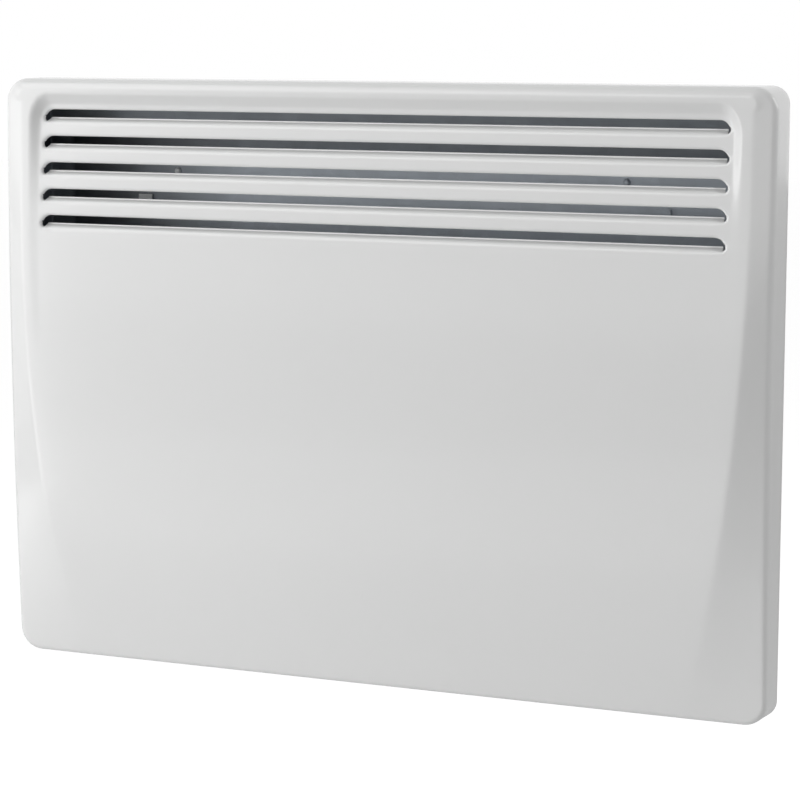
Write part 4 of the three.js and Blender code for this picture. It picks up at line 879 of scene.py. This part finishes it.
MATERIALS = {
    "cover_paint": painted_steel(),
    "galvanised_sheet": galvanised_steel(),
    "fin_aluminium": drawn_metal("fin_aluminium", (0.66, 0.67, 0.68), 0.36, (0.02, 1, 1)),
    "sheath_steel": heated_sheath(),
    "spring_steel": drawn_metal("spring_steel", (0.52, 0.53, 0.54), 0.26, (1, 1, 0.2)),
    "zinc_fastener": drawn_metal("zinc_fastener", (0.62, 0.63, 0.64), 0.30, (1, 1, 1)),
    "brass": drawn_metal("brass", (0.60, 0.44, 0.20), 0.30, (0.2, 1, 1)),
    "white_plastic": moulded("white_plastic", (0.74, 0.74, 0.71), 0.32, coat=0.1),
    "grey_plastic": moulded("grey_plastic", (0.085, 0.088, 0.092), 0.48),
    "black_plastic": moulded("black_plastic", (0.022, 0.023, 0.025), 0.42),
    "amber_lens": amber_lens(),
    "silicone": moulded("silicone", (0.40, 0.10, 0.06), 0.58),
    "ceramic": moulded("ceramic", (0.70, 0.66, 0.58), 0.50, 900),
    "wire_white": moulded("wire_white", (0.66, 0.65, 0.61), 0.50),
    "wire_grey": moulded("wire_grey", (0.14, 0.15, 0.16), 0.50),
    "wire_earth": striped_insulation(),
}


def dress_nodes():
    """Gives every node of the frame its finish, by its slot in the record."""
    for row in frame["record"]["subparts"]:
        mesh = NODES[row["node"]].data
        mesh.materials.clear()
        mesh.materials.append(MATERIALS[row["material_slot"]])
    # The casing gets its own zinc, which carries painted light and shade.
    casing = NODES["rear_casing"].data
    casing.materials.clear()
    casing.materials.append(casing_steel())


NODE_SHARP_ANGLE = math.radians(35)
BEVEL_FROM_ANGLE = math.radians(50)
EDGE_WIDTHS = {
    "bracket_upright_left": 0.25,
    "bracket_upright_right": 0.25,
    "bracket_rail": 0.25,
    "catch_left": 0.2,
    "catch_right": 0.2,
    "control_bezel": 0.3,
    "thermostat_knob": 0.25,
    "power_rocker": 0.3,
    "control_housing": 0.4,
    "cable_gland": 0.2,
}


def soften_nodes():
    """Shades the round stretches smooth, and takes the bite off folded and moulded edges."""
    for node in NODES.values():
        mesh = node.data
        mesh.polygons.foreach_set("use_smooth", [True] * len(mesh.polygons))
        mesh.set_sharp_from_angle(angle=NODE_SHARP_ANGLE)
    for name, width in EDGE_WIDTHS.items():
        modifier = NODES[name].modifiers.new("edges", "BEVEL")
        modifier.width = width * MM
        modifier.segments = 2
        modifier.limit_method = "ANGLE"
        modifier.angle_limit = BEVEL_FROM_ANGLE
        modifier.use_clamp_overlap = True
        modifier.harden_normals = True


dress_nodes()
soften_nodes()

cover = make_cover()
cover.data.materials.clear()
cover.data.materials.append(MATERIALS["cover_paint"])
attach(cover, "heater")
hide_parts("front_cover")


def make_spring(side):
    """A catch's spring, copied from its node and hung on the catch."""
    node = f"catch_spring_{side}"
    spring = bpy.data.objects.new(f"catch_coil_{side}", NODES[node].data.copy())
    bpy.context.scene.collection.objects.link(spring)
    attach(spring, f"catch_{side}")
    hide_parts(node)
    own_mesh(spring)


make_spring("left")
make_spring("right")

# ---------------------------------------------------------------- stage and light

FLOOR_DROP = 0.45  # how far the floor lies below the heater, which hangs on its wall
FLOOR_HALF = 12
STAGE_GREY = (0.82, 0.82, 0.82)
STAGE_GLOW = 0.62  # seen by the camera alone
WORLD_LIGHT = 0.37
WORLD_RIGHTWARD = -0.09  # how the world's light changes towards +X
WORLD_UPWARD = 0.07
LAMPS = (  # name, place, target, width and height, watts
    ("key", (-1.5, -1.3, 0.15), (0, 0, 0), (1.0, 1.8), 13.6),
    ("left_strip", (-1.9, -0.35, 0.15), (0, 0, 0), (0.5, 1.6), 1.6),
    ("top", (-0.9, -1.2, 1.5), (0, 0, 0), (1.6, 0.8), 9),
    ("side", (1.9, 0.9, 1.1), (0.2, 0, 0), (0.8, 1.2), 11),
    ("low", (-0.3, -1.5, -0.5), (0, 0, 0), (1.6, 0.3), 1.0),
)


def stage_material():
    """Pale floor that shows white to the camera, and still holds a shadow."""
    material = bpy.data.materials.new("stage")
    material.use_nodes = True
    tree = material.node_tree
    shader = tree.nodes["Principled BSDF"]
    shader.inputs["Base Color"].default_value = (*STAGE_GREY, 1)
    shader.inputs["Roughness"].default_value = 0.8
    shader.inputs["Specular IOR Level"].default_value = 0.1
    path = tree.nodes.new("ShaderNodeLightPath")
    shader.inputs["Emission Color"].default_value = (1, 1, 1, 1)
    lift = tree.nodes.new("ShaderNodeMath")
    lift.operation = "MULTIPLY"
    lift.inputs[1].default_value = STAGE_GLOW
    tree.links.new(path.outputs["Is Camera Ray"], lift.inputs[0])
    tree.links.new(lift.outputs["Value"], shader.inputs["Emission Strength"])
    return material


def make_floor():
    level = COVER_LOW.z - FLOOR_DROP
    corners = [(x * FLOOR_HALF, y * FLOOR_HALF, level)
               for x, y in ((-1, -1), (1, -1), (1, 1), (-1, 1))]
    floor = mesh_object("floor", corners, [(0, 1, 2, 3)])
    floor.data.materials.append(stage_material())


def make_world():
    """Soft light, a little stronger from the left and above, and white to the camera."""
    world = bpy.data.worlds.new("studio")
    bpy.context.scene.world = world
    world.use_nodes = True
    tree = world.node_tree
    background = tree.nodes["Background"]
    background.inputs["Color"].default_value = (1, 1, 1, 1)
    path = tree.nodes.new("ShaderNodeLightPath")
    seen = tree.nodes.new("ShaderNodeMath")
    seen.operation = "MAXIMUM"
    tree.links.new(path.outputs["Is Camera Ray"], seen.inputs[0])
    tree.links.new(path.outputs["Is Glossy Ray"], seen.inputs[1])
    clear = tree.nodes.new("ShaderNodeMath")
    clear.operation = "MAXIMUM"
    tree.links.new(seen.outputs["Value"], clear.inputs[0])
    tree.links.new(path.outputs["Is Transmission Ray"], clear.inputs[1])
    coordinates = tree.nodes.new("ShaderNodeTexCoord")
    parts = tree.nodes.new("ShaderNodeSeparateXYZ")
    tree.links.new(coordinates.outputs["Generated"], parts.inputs["Vector"])
    sideways = tree.nodes.new("ShaderNodeMath")
    sideways.operation = "MULTIPLY_ADD"
    sideways.inputs[1].default_value = WORLD_RIGHTWARD
    sideways.inputs[2].default_value = WORLD_LIGHT
    tree.links.new(parts.outputs["X"], sideways.inputs[0])
    upwards = tree.nodes.new("ShaderNodeMath")
    upwards.operation = "MULTIPLY_ADD"
    upwards.inputs[1].default_value = WORLD_UPWARD
    tree.links.new(parts.outputs["Z"], upwards.inputs[0])
    tree.links.new(sideways.outputs["Value"], upwards.inputs[2])
    level = tree.nodes.new("ShaderNodeMapRange")
    tree.links.new(upwards.outputs["Value"], level.inputs["To Min"])
    level.inputs["To Max"].default_value = 1.0
    tree.links.new(clear.outputs["Value"], level.inputs["Value"])
    tree.links.new(level.outputs["Result"], background.inputs["Strength"])


def make_lamp(name, place, target, size, power):
    data = bpy.data.lights.new(name, "AREA")
    data.shape = "RECTANGLE"
    data.size, data.size_y = size
    data.energy = power
    lamp = bpy.data.objects.new(name, data)
    lamp.location = place
    direction = Vector(target) - Vector(place)
    lamp.rotation_euler = direction.to_track_quat("-Z", "Y").to_euler()
    bpy.context.scene.collection.objects.link(lamp)


make_floor()
make_world()
for lamp in LAMPS:
    make_lamp(*lamp)

bpy.context.scene.view_settings.view_transform = "Standard"
